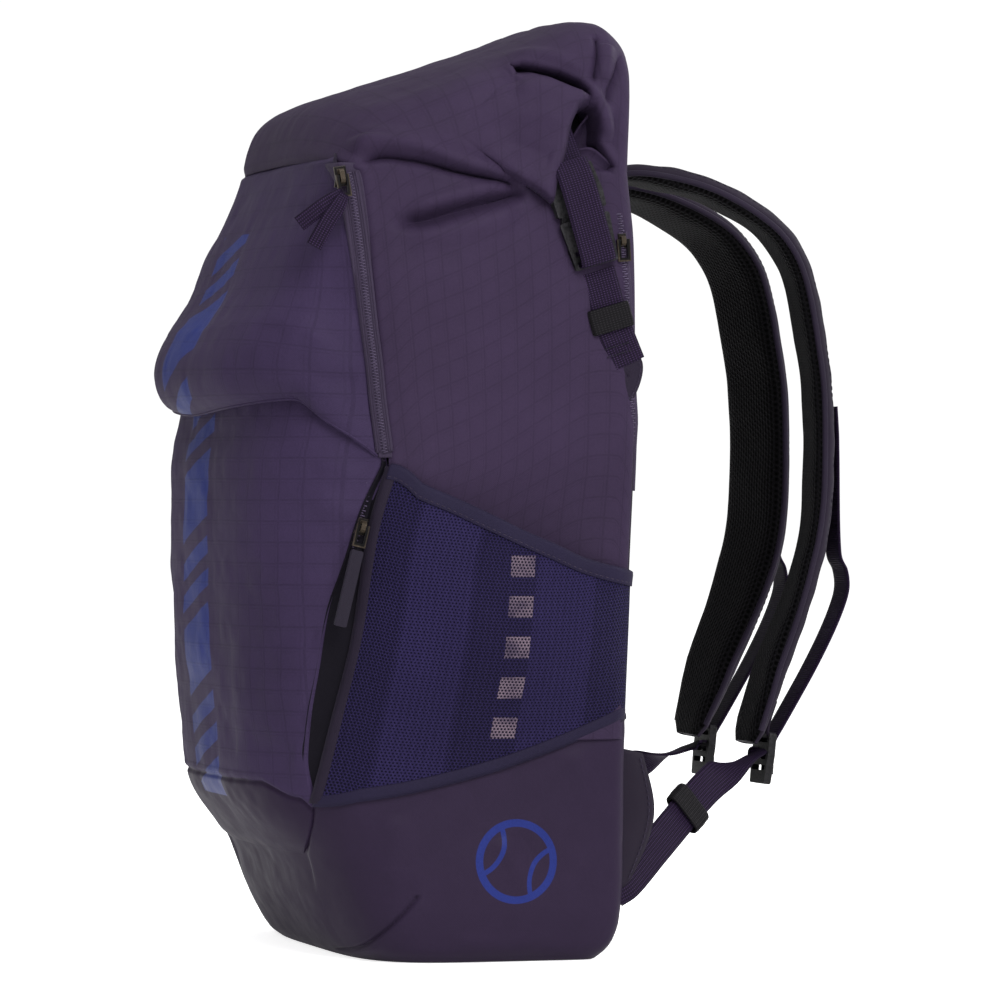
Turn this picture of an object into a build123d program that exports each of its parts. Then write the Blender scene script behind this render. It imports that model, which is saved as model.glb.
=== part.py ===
"""Roll-top racket backpack.

Frame: +Z up, +Y towards the wearer (back panel and shoulder straps), -Y the front pockets,
+X the wearer's right.  Origin on the flat underside of the base, on the symmetry plane.
Millimetres throughout.  Outlines are (y, z) points unless their comment says otherwise.
"""
from build123d import *
from math import sin, cos, radians, hypot
import os

os.makedirs("parts", exist_ok=True)

# ------------------------------------------------------------------ driving dimensions
HALF_W = 145.0        # outer half width at the side seams
WALL = 2.5            # coated base fabric with its foam
PANEL = 1.5           # side, front and collar fabric, lined
POCKET_WALL = 2.0     # front pocket fabric
COLLAR_HALF = 118.0   # half width of the collar
ROLL_TOP = 518.0      # crest of the rolled closure
WEB_W = 20.0          # webbing width
WEB_T = 1.6           # webbing thickness
STRAP_W = 60.0        # shoulder strap width
STRAP_X = 54.0        # shoulder strap centre plane
BUCKLE_X = 151.0      # mid plane of the side buckles

RIGHT = Vector(1, 0, 0)


# ------------------------------------------------------------------ shared helpers
def write(part, name):
    part.label = name
    export_step(part, f"parts/{name}.step")


def left_of(part):
    with BuildPart() as other:
        mirror(part, about=Plane.YZ)
    return other.part


def mirrored(part):
    """One part that holds the right-hand piece and its left-hand twin."""
    with BuildPart() as both_sides:
        add(part)
        mirror(part, about=Plane.YZ)
    return both_sides.part


def write_pair(part, pattern):
    """Write a right-hand piece and its left-hand twin; {} in pattern takes the side."""
    write(part, pattern.format("right"))
    write(left_of(part), pattern.format("left"))


def yz_plate(outline, x, amount, both=False):
    """Flat-sided piece with a (y, z) outline, extruded along X from plane x."""
    with BuildPart() as plate:
        with BuildSketch(Plane.YZ.offset(x)):
            with BuildLine():
                Polyline(*outline, close=True)
            make_face()
        extrude(amount=amount, both=both)
    return plate.part


def sideways(direction):
    """Unit vector square to direction and as near to +X as it can be."""
    return (RIGHT - direction * RIGHT.dot(direction)).normalized()


def top_edges(part, normal):
    """Edges that lie flat in the face furthest along normal."""
    flat = [e for e in part.edges() if abs((e @ 1 - e @ 0).dot(normal)) < 1e-3]
    top = max((e @ 0.5).dot(normal) for e in flat)
    return ShapeList([e for e in flat if (e @ 0.5).dot(normal) > top - 1e-2])


# side/back seam as (z, y)
BACK = [(0, 58), (10, 64), (34, 66), (94, 69), (198, 74.5), (308, 79), (390, 78), (437, 73),
        (447, 72.5)]
BACK_STEP = 45        # height between the points of a layer that follows the back


def back_y(z):
    """y of the back seam at height z."""
    for (z0, y0), (z1, y1) in zip(BACK, BACK[1:]):
        if z <= z1:
            return y0 + (y1 - y0) * (z - z0) / (z1 - z0)
    return BACK[-1][1]


def back_strip(bottom, top, inner, outer):
    """Outline of a layer that follows the back, between two offsets in y."""
    zs = [bottom]
    while zs[-1] + BACK_STEP < top:
        zs.append(zs[-1] + BACK_STEP)
    zs.append(top)
    return ([(back_y(z) + inner, z) for z in zs]
            + [(back_y(z) + outer, z) for z in reversed(zs)])


# ------------------------------------------------------------------ base
BOOT = [(-66, 0), (58, 0), (64, 8), (66.5, 34), (69.5, 94), (71, 137), (-3.7, 109),
        (-60, 96), (-112, 88.5), (-119, 54), (-92, 20)]
# hollow of the boot, which runs out above its rim
BOOT_IN = [(-64.5, WALL), (56, WALL), (61.5, 9.5), (64, 34), (67, 94), (68.4, 160),
           (-130, 160), (-130, 57), (-116, 53.6), (-90.5, 22.5)]
LAYER_GAP = 0.3       # gap under the board and under the foam
BOARD_T = 1.5
FOAM_T = 4.0

with BuildPart() as base_boot:
    with BuildSketch(Plane.YZ):
        with BuildLine():
            Polyline(*BOOT, close=True)
        make_face()
    extrude(amount=HALF_W, both=True)
    low = base_boot.edges().filter_by(Axis.Y).group_by(Axis.Z)[0]
    fillet(low, radius=9)
    with BuildSketch(Plane.YZ):
        with BuildLine():
            Polyline(*BOOT_IN, close=True)
        make_face()
    extrude(amount=HALF_W - WALL, both=True, mode=Mode.SUBTRACT)
write(base_boot.part, "base_boot")

with BuildPart() as base_board:
    with BuildSketch(Plane.XY.offset(WALL + LAYER_GAP)):
        RectangleRounded(268, 108, 14)
    extrude(amount=BOARD_T)
write(base_board.part, "base_board")

with BuildPart() as base_foam:
    with BuildSketch(Plane.XY.offset(WALL + BOARD_T + 2 * LAYER_GAP)):
        RectangleRounded(272, 112, 16)
    extrude(amount=FOAM_T)
    fillet(base_foam.edges().group_by(Axis.Z)[-1], radius=1.5)
write(base_foam.part, "base_foam")

# ------------------------------------------------------------------ bowed side fabric
# how a band bows between its seams: (fraction from front to back seam, fraction of depth)
BOW = [(0.0, 0.0), (0.09, 0.52), (0.21, 0.87), (0.36, 0.98), (0.5, 1.0), (0.64, 0.98),
       (0.79, 0.87), (0.91, 0.52), (1.0, 0.0)]


def bowed_band(rows, x, wall, sign):
    """Right-hand panel between two seams, bowed outwards for sign +1, inwards for -1."""
    with BuildPart() as band:
        for z, depth, y_front, y_back in rows:
            near = [(x + sign * depth * f, y_front + (y_back - y_front) * t) for t, f in BOW]
            far = [(px + wall, py) for px, py in near]
            with BuildSketch(Plane.XY.offset(z)):
                with BuildLine():
                    Polyline(*near, *reversed(far), close=True)
                make_face()
        loft(ruled=True)
    return band.part


def trimmed_band(rows, x, wall, sign, outline, trim_x, trim_depth):
    """Bowed band cut to a (y, z) outline."""
    with BuildPart() as panel:
        add(bowed_band(rows, x, wall, sign))
        with BuildSketch(Plane.YZ.offset(trim_x)):
            with BuildLine():
                Polyline(*outline, close=True)
            make_face()
        extrude(amount=trim_depth, mode=Mode.INTERSECT)
    return panel.part


# side panels, dished inwards behind the bottle pockets
SIDE_X = 144.4        # outer face at the seams
SIDE = [(-110.5, 90.5), (-60, 97.8), (-3.7, 110.8), (65.8, 138.8), (70.3, 198), (74.8, 308),
        (73.8, 390), (68.8, 437), (51, 437), (44, 411), (18, 411), (-3, 426), (-22, 437),
        (-83.4, 437), (-70.0, 361), (-60.5, 291), (-64, 262), (-71, 242), (-96, 145),
        (-108, 100)]
# z, depth of the dish, y of the front seam, y of the back seam
DISH = [
    (88, 5.0, -114, 70), (122, 30.0, -106, 70), (150, 34.0, -97, 72), (205, 34.0, -82, 75),
    (262, 30.0, -66, 78), (310, 20.0, -68, 80), (370, 12.0, -76, 80), (440, 8.0, -88, 78),
]
side_panel = trimmed_band(DISH, SIDE_X - PANEL, PANEL, -1, SIDE, trim_x=100, trim_depth=50)
write_pair(side_panel, "side_panel_{}")

# elastic mesh bottle pockets and the bindings along their slanted mouths
MESH_X = 145.6        # inner face at the seams
MESH_T = 1.2
BINDING_T = 2.0
MESH = [(-66.5, 258.5), (63, 200.0), (66, 138.5), (-4, 110.0), (-60, 97.0), (-109, 90.5),
        (-96.5, 145), (-71.5, 242)]
BINDING = [(-66.5, 271), (64, 212), (63.2, 200.6), (-66.5, 259.1)]
# z, bulge, y of the front seam, y of the back seam
BULGE = [
    (88, 3.0, -111, 69), (128, 34.0, -102, 69), (150, 40.0, -97, 69), (205, 41.0, -82.5, 67),
    (280, 41.0, -64, 65),
]
mesh_pocket = trimmed_band(BULGE, MESH_X, MESH_T, 1, MESH, trim_x=140, trim_depth=60)
write_pair(mesh_pocket, "mesh_pocket_{}")
binding = trimmed_band(BULGE, MESH_X, BINDING_T, 1, BINDING, trim_x=140, trim_depth=60)
write(mirrored(binding), "pocket_bindings")

# ------------------------------------------------------------------ front wall
# between the main compartment and the front pockets
FRONT_WALL_Y = -73.0  # its front face
FRONT_WALL_HALF = 115.5
FRONT_WALL_Z = (10, 452)

with BuildPart() as front_wall:
    with BuildSketch(Plane.XZ.offset(-FRONT_WALL_Y)):
        with BuildLine():
            Polyline((-FRONT_WALL_HALF, FRONT_WALL_Z[0]), (FRONT_WALL_HALF, FRONT_WALL_Z[0]),
                     (FRONT_WALL_HALF, FRONT_WALL_Z[1]), (-FRONT_WALL_HALF, FRONT_WALL_Z[1]),
                     close=True)
        make_face()
    extrude(amount=-PANEL)
    fillet(front_wall.edges().filter_by(Axis.Y).group_by(Axis.Z)[0], radius=6)
write(front_wall.part, "front_wall")

# ------------------------------------------------------------------ front pockets
PLAN_POINTS = 13      # points across a pocket's plan outline, closer together at the sides
# z, half width, y at the side edge, y at the centre, power of the sweep to the sides
LOWER_POCKET = [
    (57, 130, -106, -116, 4.0), (100, 140, -111.5, -133, 4.5), (145, 141, -99.5, -137, 4.0),
    (200, 141.5, -86, -138.5, 3.3), (250, 141.5, -75.5, -138.5, 3.0),
    (288, 141.5, -76.5, -136, 3.0),
]
UPPER_POCKET = [
    (291, 141.5, -77.5, -137, 2.8), (306, 141.5, -79, -147, 2.8),
    (322, 141.5, -80.5, -151, 2.8), (342, 141, -84, -149, 2.9), (385, 139, -91, -127, 3.2),
    (439.5, 133, -99.5, -103, 3.6),
]


def pocket_plan(half, edge, centre, power):
    """Outer and inner (x, y) rows: flat across the front, swept back at the sides."""
    wall = POCKET_WALL
    xs = [half * sin(radians(90 * (i / (PLAN_POINTS - 1) * 2 - 1)))
          for i in range(PLAN_POINTS)]
    outer = [(x, centre + (edge - centre) * (abs(x) / half) ** power) for x in xs]
    inner = [(x * (half - wall) / half,
              centre + wall + (edge - centre - wall) * (abs(x) / half) ** power) for x in xs]
    return outer, inner


def pocket_shell(stations):
    with BuildPart() as shell:
        for z, half, edge, centre, power in stations:
            outer, inner = pocket_plan(half, edge, centre, power)
            with BuildSketch(Plane.XY.offset(z)):
                with BuildLine():
                    Polyline(*outer, *reversed(inner), close=True)
                make_face()
        loft(ruled=True)
    return shell.part


write(pocket_shell(LOWER_POCKET), "lower_pocket")
write(pocket_shell(UPPER_POCKET), "upper_pocket")

# narrow gusset that closes the lower pocket's zipped side
GUSSET = [(-76, 270), (-65, 270), (-72.0, 242), (-97.0, 145), (-109.5, 98), (-117, 98),
          (-105, 145), (-81, 242)]
write(yz_plate(GUSSET, x=143.2, amount=-1.0), "pocket_gusset")

# ------------------------------------------------------------------ zips, right-hand side only
# "down" runs along the zip from its top end, "out" is its outward normal
TAPE_T = 1.0
COIL_T = 0.8
COIL_MARGIN = 6.0     # tape length left free of the coil, both ends together
SLIDER_LIFT = 2.1     # underside of the slider above the back of the tape
EYE_LIFT = 3.55       # eye centre above the underside of the slider
RING_T = 1.8          # thickness of the ring's wire
RING_W = 7.2
TAIL_START = 13.4     # from the eye to the root of the tails


def zip_tape(start, end, width, coil):
    down = (end - start).normalized()
    out = sideways(down)
    length = (end - start).length
    mid = start + down * (length / 2)
    with BuildPart() as tape:
        with BuildSketch(Plane(origin=mid, x_dir=down, z_dir=out)):
            Rectangle(length, width)
        extrude(amount=TAPE_T)
        with BuildSketch(Plane(origin=mid + out * TAPE_T, x_dir=down, z_dir=out)):
            Rectangle(length - COIL_MARGIN, coil)
        extrude(amount=COIL_T)
        # groove down the middle of the coil
        with BuildSketch(Plane(origin=mid + out * (TAPE_T + COIL_T), x_dir=down, z_dir=out)):
            Rectangle(length - COIL_MARGIN, 0.6)
        extrude(amount=-0.5, mode=Mode.SUBTRACT)
    return tape.part


def zip_slider(at, down, out, size):
    """Slider body of length size that rides over the coil, with an eye for the ring."""
    base = at + out * SLIDER_LIFT
    across = out.cross(down)
    body = [(-0.5, -0.3), (0.1, -0.3), (0.5, -0.42), (0.5, 0.42), (0.1, 0.3), (-0.5, 0.3)]
    with BuildPart() as slider:
        with BuildSketch(Plane(origin=base, x_dir=down, z_dir=out)):
            with BuildLine():
                Polyline(*[(size * u, size * v) for u, v in body], close=True)
            make_face()
        extrude(amount=2.0)
        fillet(top_edges(slider, out), radius=0.6)
        # crown; local y points in towards the bag
        with BuildSketch(Plane(origin=base - across * 1.3, x_dir=down, z_dir=across)):
            with BuildLine():
                Polyline((-size * 0.32, -1.0), (-size * 0.32, -4.2), (-size * 0.2, -5.4),
                         (size * 0.2, -5.4), (size * 0.32, -4.2), (size * 0.32, -1.0),
                         close=True)
            make_face()
        extrude(amount=2.6)
        with BuildSketch(Plane(origin=base - across * 3, x_dir=down, z_dir=across)):
            with Locations((0, -EYE_LIFT)):
                Circle(1.15)
        extrude(amount=6, mode=Mode.SUBTRACT)
    return slider.part


def zip_ring(at, down, out):
    """Wire ring: a pin through the slider's eye, two rails and an end bar."""
    across = out.cross(down)
    eye = at + out * (SLIDER_LIFT + EYE_LIFT)
    rail = (RING_W - RING_T) / 2
    with BuildPart() as ring:
        with BuildSketch(Plane(origin=eye - across * (RING_W / 2), x_dir=down, z_dir=across)):
            Circle(RING_T / 2)
        extrude(amount=RING_W)
        for side in (-1, 1):
            with BuildSketch(Plane(origin=eye + across * (rail * side) + down * 5.2,
                                   x_dir=down, z_dir=out)):
                Rectangle(12.0, RING_T)
            extrude(amount=RING_T / 2, both=True)
        with BuildSketch(Plane(origin=eye + down * 10.4, x_dir=down, z_dir=out)):
            Rectangle(2.0, RING_W)
        extrude(amount=RING_T / 2, both=True)
    return ring.part


def zip_tails(at, down, out, angles, width, length, thick):
    """Tails that hang from the ring, one per angle; negative degrees swing to the front."""
    across = out.cross(down)
    root = at + out * (SLIDER_LIFT + EYE_LIFT) + down * TAIL_START
    with BuildPart() as tails:
        for i, angle in enumerate(angles):
            hang = down * cos(radians(angle)) + across * sin(radians(angle))
            layer = (i - 0.5 * (len(angles) - 1)) * thick
            with BuildSketch(Plane(origin=root + hang * (length / 2) + out * layer,
                                   x_dir=hang, z_dir=out)):
                RectangleRounded(length, width, 1.0)
            extrude(amount=thick / 2, both=True)
    return tails.part


def write_zip(name, start, end, tape_width, coil_width, slider_at, slider_size):
    """Write tape, slider and ring; returns the slider's place and the zip's directions."""
    start, end = Vector(*start), Vector(*end)
    down = (end - start).normalized()
    out = sideways(down)
    at = start + down * slider_at
    write(zip_tape(start, end, tape_width, coil_width), f"{name}_zip_tape")
    write(zip_slider(at, down, out, slider_size), f"{name}_zip_slider")
    write(zip_ring(at, down, out), f"{name}_zip_ring")
    return at, down, out


upper_slider = write_zip("upper", start=(139.0, -90.0, 436.0), end=(144.6, -68.0, 296.0),
                         tape_width=14.0, coil_width=5.0, slider_at=8.0, slider_size=11.0)
write(zip_tails(*upper_slider, angles=(-14, -30), width=9.0, length=34.0, thick=1.7),
      "upper_zip_tails")

lower_slider = write_zip("lower", start=(144.45, -72.8, 262.0), end=(144.45, -110.8, 104.0),
                         tape_width=9.0, coil_width=4.0, slider_at=24.0, slider_size=9.0)
write(zip_tails(*lower_slider, angles=(0,), width=6.5, length=42.0, thick=3.6),
      "lower_zip_tab")

write_zip("laptop", start=(145.3, 68.0, 402.0), end=(145.3, 72.6, 338.0),
          tape_width=10.0, coil_width=4.0, slider_at=7.0, slider_size=8.0)

# ------------------------------------------------------------------ collar and rolled closure
HOOD = [(-104, 443), (-97, 455), (-87, 467), (-72, 476), (47.5, 511), (47.5, 449),
        (69.5, 449), (69.5, 440), (-104, 440)]
HOOD_IN = [(-102.5, 436), (-102.5, 443.5), (-95.7, 454), (-86, 465.5), (-71.5, 474.4),
           (60, 512.9), (60, 452), (68, 452), (68, 436)]
ROLL = [(49, 458), (50.5, 502), (57, 514), (63, ROLL_TOP), (70, 511), (75, 499), (75.5, 460),
        (71, 450.5), (56, 450.5)]
ROLL_HALF = 134.0
# end of the roll folded down beside the collar
LOBE = [(-14, 452), (6, 468), (22, 482), (51, 475), (49.5, 459), (44, 450), (39.5, 437),
        (33, 417), (18, 425), (2, 436)]
LOBE_X = COLLAR_HALF + 1.2
LOBE_W = 26.0
STIFFENER_AT = (62, 478)
STIFFENER_HALF = 124.0

with BuildPart() as collar:
    with BuildSketch(Plane.YZ):
        with BuildLine():
            Polyline(*HOOD, close=True)
        make_face()
    extrude(amount=COLLAR_HALF, both=True)
    with BuildSketch(Plane.YZ):
        with BuildLine():
            Polyline(*HOOD_IN, close=True)
        make_face()
    extrude(amount=COLLAR_HALF - PANEL, both=True, mode=Mode.SUBTRACT)
write(collar.part, "collar")

with BuildPart() as roll:
    with BuildSketch(Plane.YZ):
        with BuildLine():
            Polyline(*ROLL, close=True)
        make_face()
    extrude(amount=ROLL_HALF, both=True)
    for side in (1, -1):
        with BuildSketch(Plane.YZ.offset(LOBE_X * side)):
            with BuildLine():
                Polyline(*LOBE, close=True)
            make_face()
        extrude(amount=LOBE_W * side)
    # pocket for the stiffener
    with BuildSketch(Plane.YZ):
        with Locations(STIFFENER_AT):
            Rectangle(3.0, 27.0)
    extrude(amount=STIFFENER_HALF + 1, both=True, mode=Mode.SUBTRACT)
write(roll.part, "roll")

with BuildPart() as roll_stiffener:
    with BuildSketch(Plane.YZ):
        with Locations(STIFFENER_AT):
            Rectangle(1.6, 25.0)
    extrude(amount=STIFFENER_HALF, both=True)
write(roll_stiffener.part, "roll_stiffener")

# ------------------------------------------------------------------ side buckles
BUCKLE_AT = Vector(BUCKLE_X, 44.5, 409.0)
# the side webbing runs up and slightly forwards
WEB_UP = Vector(0.0, -0.281, 0.960).normalized()
# local x runs up the webbing, local y to the front, local z away from the bag
BUCKLE_PLANE = Plane(origin=BUCKLE_AT, x_dir=WEB_UP, z_dir=RIGHT)
SLOT_W = 21.0         # webbing slots
BUCKLE_ROUND = 1.2
ARM_Y = 9.3           # arms to either side of the buckle's centre line
PIVOT_AT = 6.0        # arm pivots up the webbing from the buckle's centre
SOCKET = [(-29, -12.4), (-3.0, -14.6), (-2.0, -13.6), (-2.0, 13.6), (-3.0, 14.6), (-29, 12.4)]
PLUG = [(1.2, -14.2), (10, -14.6), (27, -12.4), (27, 12.4), (10, 14.6), (1.2, 14.2)]
ARM = [(8.0, 7.4), (8.0, 11.2), (1.0, 11.6), (-4.0, 13.6), (-10.5, 13.2), (-13.5, 10.4),
       (-13.5, 9.0), (-4.0, 8.0)]

with BuildPart() as socket:
    with BuildSketch(BUCKLE_PLANE):
        with BuildLine():
            Polyline(*SOCKET, close=True)
        make_face()
    extrude(amount=4.2, both=True)
    fillet(socket.edges().filter_by(Axis.X), radius=BUCKLE_ROUND)
    # throat that takes the plug, open at the sides as well
    with BuildSketch(BUCKLE_PLANE):
        with Locations((-8.5, 0)):
            Rectangle(17.0, 40.0)
    extrude(amount=2.4, both=True, mode=Mode.SUBTRACT)
    # webbing slots either side of the ladder bar
    with BuildSketch(BUCKLE_PLANE):
        with Locations((-26.0, 0), (-20.2, 0)):
            Rectangle(2.6, SLOT_W)
    extrude(amount=10, both=True, mode=Mode.SUBTRACT)
    # thumb relief in the outer plate
    with BuildSketch(BUCKLE_PLANE.offset(4.2)):
        with Locations((-2.0, 0)):
            Circle(6.0)
    extrude(amount=-1.9, mode=Mode.SUBTRACT)
    # bridge that ties the two plates at the foot of the throat
    with BuildSketch(BUCKLE_PLANE):
        with Locations((-16.6, 0)):
            Rectangle(1.6, 22.0)
    extrude(amount=3.0, both=True)
write(mirrored(socket.part), "buckle_sockets")

with BuildPart() as plug:
    with BuildSketch(BUCKLE_PLANE):
        with BuildLine():
            Polyline(*PLUG, close=True)
        make_face()
    extrude(amount=4.0, both=True)
    fillet(plug.edges().filter_by(Axis.X), radius=BUCKLE_ROUND)
    # slot for the sewn webbing loop
    with BuildSketch(BUCKLE_PLANE):
        with Locations((22.4, 0)):
            Rectangle(3.0, SLOT_W)
    extrude(amount=10, both=True, mode=Mode.SUBTRACT)
    # hollows for the arm roots
    with BuildSketch(BUCKLE_PLANE):
        with Locations((4.6, ARM_Y), (4.6, -ARM_Y)):
            Rectangle(9.0, 6.8)
    extrude(amount=2.2, both=True, mode=Mode.SUBTRACT)
    # centre guide tongue
    with BuildSketch(BUCKLE_PLANE):
        with Locations((-5.0, 0)):
            Rectangle(14.0, 5.0)
    extrude(amount=1.6, both=True)
    # arm pivots
    with BuildSketch(BUCKLE_PLANE):
        with Locations((PIVOT_AT, ARM_Y), (PIVOT_AT, -ARM_Y)):
            Circle(1.0)
    extrude(amount=3.0, both=True)
write(mirrored(plug.part), "buckle_plugs")


def buckle_arm(sign):
    """Spring arm of the plug, at the front for sign +1 and at the rear for -1."""
    with BuildPart() as arm:
        with BuildSketch(BUCKLE_PLANE):
            with BuildLine():
                Polyline(*[(u, v * sign) for u, v in ARM], close=True)
            make_face()
        extrude(amount=1.9, both=True)
        with BuildSketch(BUCKLE_PLANE):
            with Locations((PIVOT_AT, ARM_Y * sign)):
                Circle(1.06)
        extrude(amount=4, both=True, mode=Mode.SUBTRACT)
    return arm.part


write_pair(buckle_arm(1), "buckle_arm_{}_front")
write_pair(buckle_arm(-1), "buckle_arm_{}_rear")


# ------------------------------------------------------------------ webbing at the sides
def web_plane(up, out):
    """Plane facing sideways, up along the webbing and out from the buckle's centre."""
    return Plane(origin=BUCKLE_AT + WEB_UP * up + RIGHT * out, x_dir=WEB_UP, z_dir=RIGHT)


def keeper(plane):
    """Flat tube around the webbing, centred on a plane square to it."""
    with BuildPart() as tube:
        with BuildSketch(plane):
            RectangleRounded(5.2, 24.4, 1.4)
            RectangleRounded(2.4, 21.2, 0.5, mode=Mode.SUBTRACT)
        extrude(amount=7, both=True)
    return tube.part


with BuildPart() as compression_tail:
    with BuildSketch(web_plane(up=-0.5, out=6.0)):
        RectangleRounded(58, WEB_W, 1.5)
    extrude(amount=WEB_T)
write(mirrored(compression_tail.part), "compression_tails")

with BuildPart() as roll_webbing:
    with BuildSketch(web_plane(up=37.0, out=-3.2)):
        RectangleRounded(18, WEB_W, 1.0)
    extrude(amount=WEB_T)
write(mirrored(roll_webbing.part), "roll_webbings")

with BuildPart() as compression_webbing:
    with BuildSketch(web_plane(up=-57.0, out=-WEB_T / 2)):
        Rectangle(54, WEB_W)
    extrude(amount=WEB_T)
write(mirrored(compression_webbing.part), "compression_webbings")

side_keeper = keeper(Plane(origin=BUCKLE_AT - WEB_UP * 59.0, x_dir=RIGHT, z_dir=WEB_UP))
write_pair(side_keeper, "side_keeper_{}")

ANCHOR_TAB = [(62, 324.5), (66, 332), (78, 330.5), (80.5, 324), (76, 308), (70, 306)]
write(mirrored(yz_plate(ANCHOR_TAB, x=147.0, amount=2.4)), "anchor_tabs")

# ------------------------------------------------------------------ back
write(yz_plate(back_strip(140, 447, -3.0, 0.0), x=0, amount=142, both=True), "back_panel")
write(yz_plate(back_strip(24, 430, -7.0, -5.5), x=0, amount=122, both=True), "frame_sheet")

LOW_PAD = [(74.8, 66), (84, 72), (84.5, 128), (74.9, 134)]
with BuildPart() as back_pads:
    with BuildSketch(Plane.YZ):
        with BuildLine():
            Polyline(*back_strip(142, 415, 0.3, 8.5), close=True)
        make_face()
    extrude(amount=116, both=True)
    # channel that parts the right and left pads
    with BuildSketch(Plane.YZ):
        with BuildLine():
            Polyline(*back_strip(140, 418, -5, 20), close=True)
        make_face()
    extrude(amount=17, both=True, mode=Mode.SUBTRACT)
    # separate pad below them
    with BuildSketch(Plane.YZ):
        with BuildLine():
            Polyline(*LOW_PAD, close=True)
        make_face()
    extrude(amount=100, both=True)
write(back_pads.part, "back_pads")

SLEEVE_HALF = 107.0
SLEEVE_SHEET = [(36.0, 24), (40.0, 24), (48.0, 330), (44.0, 330)]
SLEEVE_SIDE = [(38.0, 24), (57.0, 24), (69.0, 330), (46.0, 330)]
with BuildPart() as laptop_sleeve:
    with BuildSketch(Plane.YZ):
        with BuildLine():
            Polyline(*SLEEVE_SHEET, close=True)
        make_face()
    extrude(amount=SLEEVE_HALF, both=True)
    for side in (-1, 1):
        with BuildSketch(Plane.YZ.offset(SLEEVE_HALF * side)):
            with BuildLine():
                Polyline(*SLEEVE_SIDE, close=True)
            make_face()
        extrude(amount=-2.0 * side)
write(laptop_sleeve.part, "laptop_sleeve")

# ------------------------------------------------------------------ shoulder straps
# face of the strap away from the bag, from the top down
STRAP_FACE = [(106, 441.5), (144, 434), (179, 412), (209, 378), (221, 346), (225, 305),
              (226, 255), (221, 213), (197.5, 155), (173, 112)]
# middle of the webbing that carries the ladder lock, from the top down
LOCK_WEB = [(227.5, 232), (229.5, 203), (217.5, 178), (206, 156), (193, 136), (184.5, 124.5)]
# piece, half width, near and far offset in from STRAP_FACE
STRAP_LAYERS = [
    ("cover", STRAP_W / 2, 0.0, 2.0),
    ("foam", STRAP_W / 2 - 1.0, 2.2, 9.8),
    ("mesh", STRAP_W / 2, 10.0, 13.0),
]


def offset_path(points, distance):
    """The path, given from the top down, moved towards the bag by distance."""
    moved = []
    for i, (y, z) in enumerate(points):
        y0, z0 = points[max(i - 1, 0)]
        y1, z1 = points[min(i + 1, len(points) - 1)]
        dy, dz = y1 - y0, z1 - z0
        length = hypot(dy, dz)
        moved.append((y + dz / length * distance, z - dy / length * distance))
    return moved


def strap_band(x, half, near, far, points):
    with BuildPart() as band:
        with BuildSketch(Plane.YZ.offset(x)):
            with BuildLine():
                face = Spline(*offset_path(points, near))
                back = Spline(*offset_path(points, far))
                Line(face @ 0, back @ 0)
                Line(face @ 1, back @ 1)
            make_face()
        extrude(amount=half, both=True)
    return band.part


for side, sign in (("right", 1), ("left", -1)):
    for layer, half, near, far in STRAP_LAYERS:
        write(strap_band(STRAP_X * sign, half, near, far, STRAP_FACE), f"strap_{layer}_{side}")
    write(strap_band(STRAP_X * sign, WEB_W / 2, -1.0, 1.0, LOCK_WEB), f"strap_webbing_{side}")

# ladder locks: local x across the strap, local y down, local z away from the bag
LOCK_AT = Vector(STRAP_X, 182.2, 108.0)
LOCK_DOWN = Vector(0.0, -0.12, -1.0).normalized()
LOCK_OUT = RIGHT.cross(LOCK_DOWN)
LOCK = [(-13.6, -13.0), (13.6, -13.0), (14.6, 0), (12.4, 16.5), (-12.4, 16.5), (-14.6, 0)]
with BuildPart() as ladder_lock:
    with BuildSketch(Plane(origin=LOCK_AT, x_dir=RIGHT, z_dir=LOCK_OUT)):
        with BuildLine():
            Polyline(*LOCK, close=True)
        make_face()
    extrude(amount=2.2, both=True)
    fillet(ladder_lock.edges().filter_by(Axis((0, 0, 0), LOCK_OUT)), radius=1.8)
    with BuildSketch(Plane(origin=LOCK_AT, x_dir=RIGHT, z_dir=LOCK_OUT)):
        with Locations((0, -8.6), (0, 1.0), (0, 7.4)):
            Rectangle(21.4, 3.0)
    extrude(amount=6, both=True, mode=Mode.SUBTRACT)
    chamfer(top_edges(ladder_lock, LOCK_OUT), length=0.5)
write_pair(ladder_lock.part, "ladder_lock_{}")

# lower webbing from the ladder lock to the bottom corner of the bag; flat at the lock,
# turning to face sideways
WEB_TOP = Vector(57.0, 172.0, 104.0)
WEB_TURN = Vector(84.0, 139.0, 93.0)
WEB_END = Vector(134.0, 76.5, 43.5)
LEAD_DIR = (WEB_TURN - WEB_TOP).normalized()
MAIN_DIR = (WEB_END - WEB_TURN).normalized()
MAIN_FACE = sideways(MAIN_DIR)
MAIN_ACROSS = MAIN_FACE.cross(MAIN_DIR)

with BuildPart() as lower_webbing:
    for at, across, direction in ((WEB_TOP, sideways(LEAD_DIR), LEAD_DIR),
                                  (WEB_TURN, MAIN_ACROSS, MAIN_DIR)):
        with BuildSketch(Plane(origin=at, x_dir=across, z_dir=direction)):
            Rectangle(WEB_W, WEB_T)
    loft(ruled=True)
    with BuildSketch(Plane(origin=WEB_TURN, x_dir=MAIN_ACROSS, z_dir=MAIN_DIR)):
        Rectangle(WEB_W, WEB_T)
    extrude(amount=(WEB_END - WEB_TURN).length)
write_pair(lower_webbing.part, "lower_webbing_{}")

strap_keeper = keeper(Plane(origin=WEB_TURN + MAIN_DIR * 24.0, x_dir=MAIN_FACE,
                            z_dir=MAIN_DIR))
write_pair(strap_keeper, "strap_keeper_{}")

WING = [(86, 112), (97, 84), (91, 72), (86, 68)]
write_pair(yz_plate(WING, x=127.0, amount=2.0), "strap_wing_{}")

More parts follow.
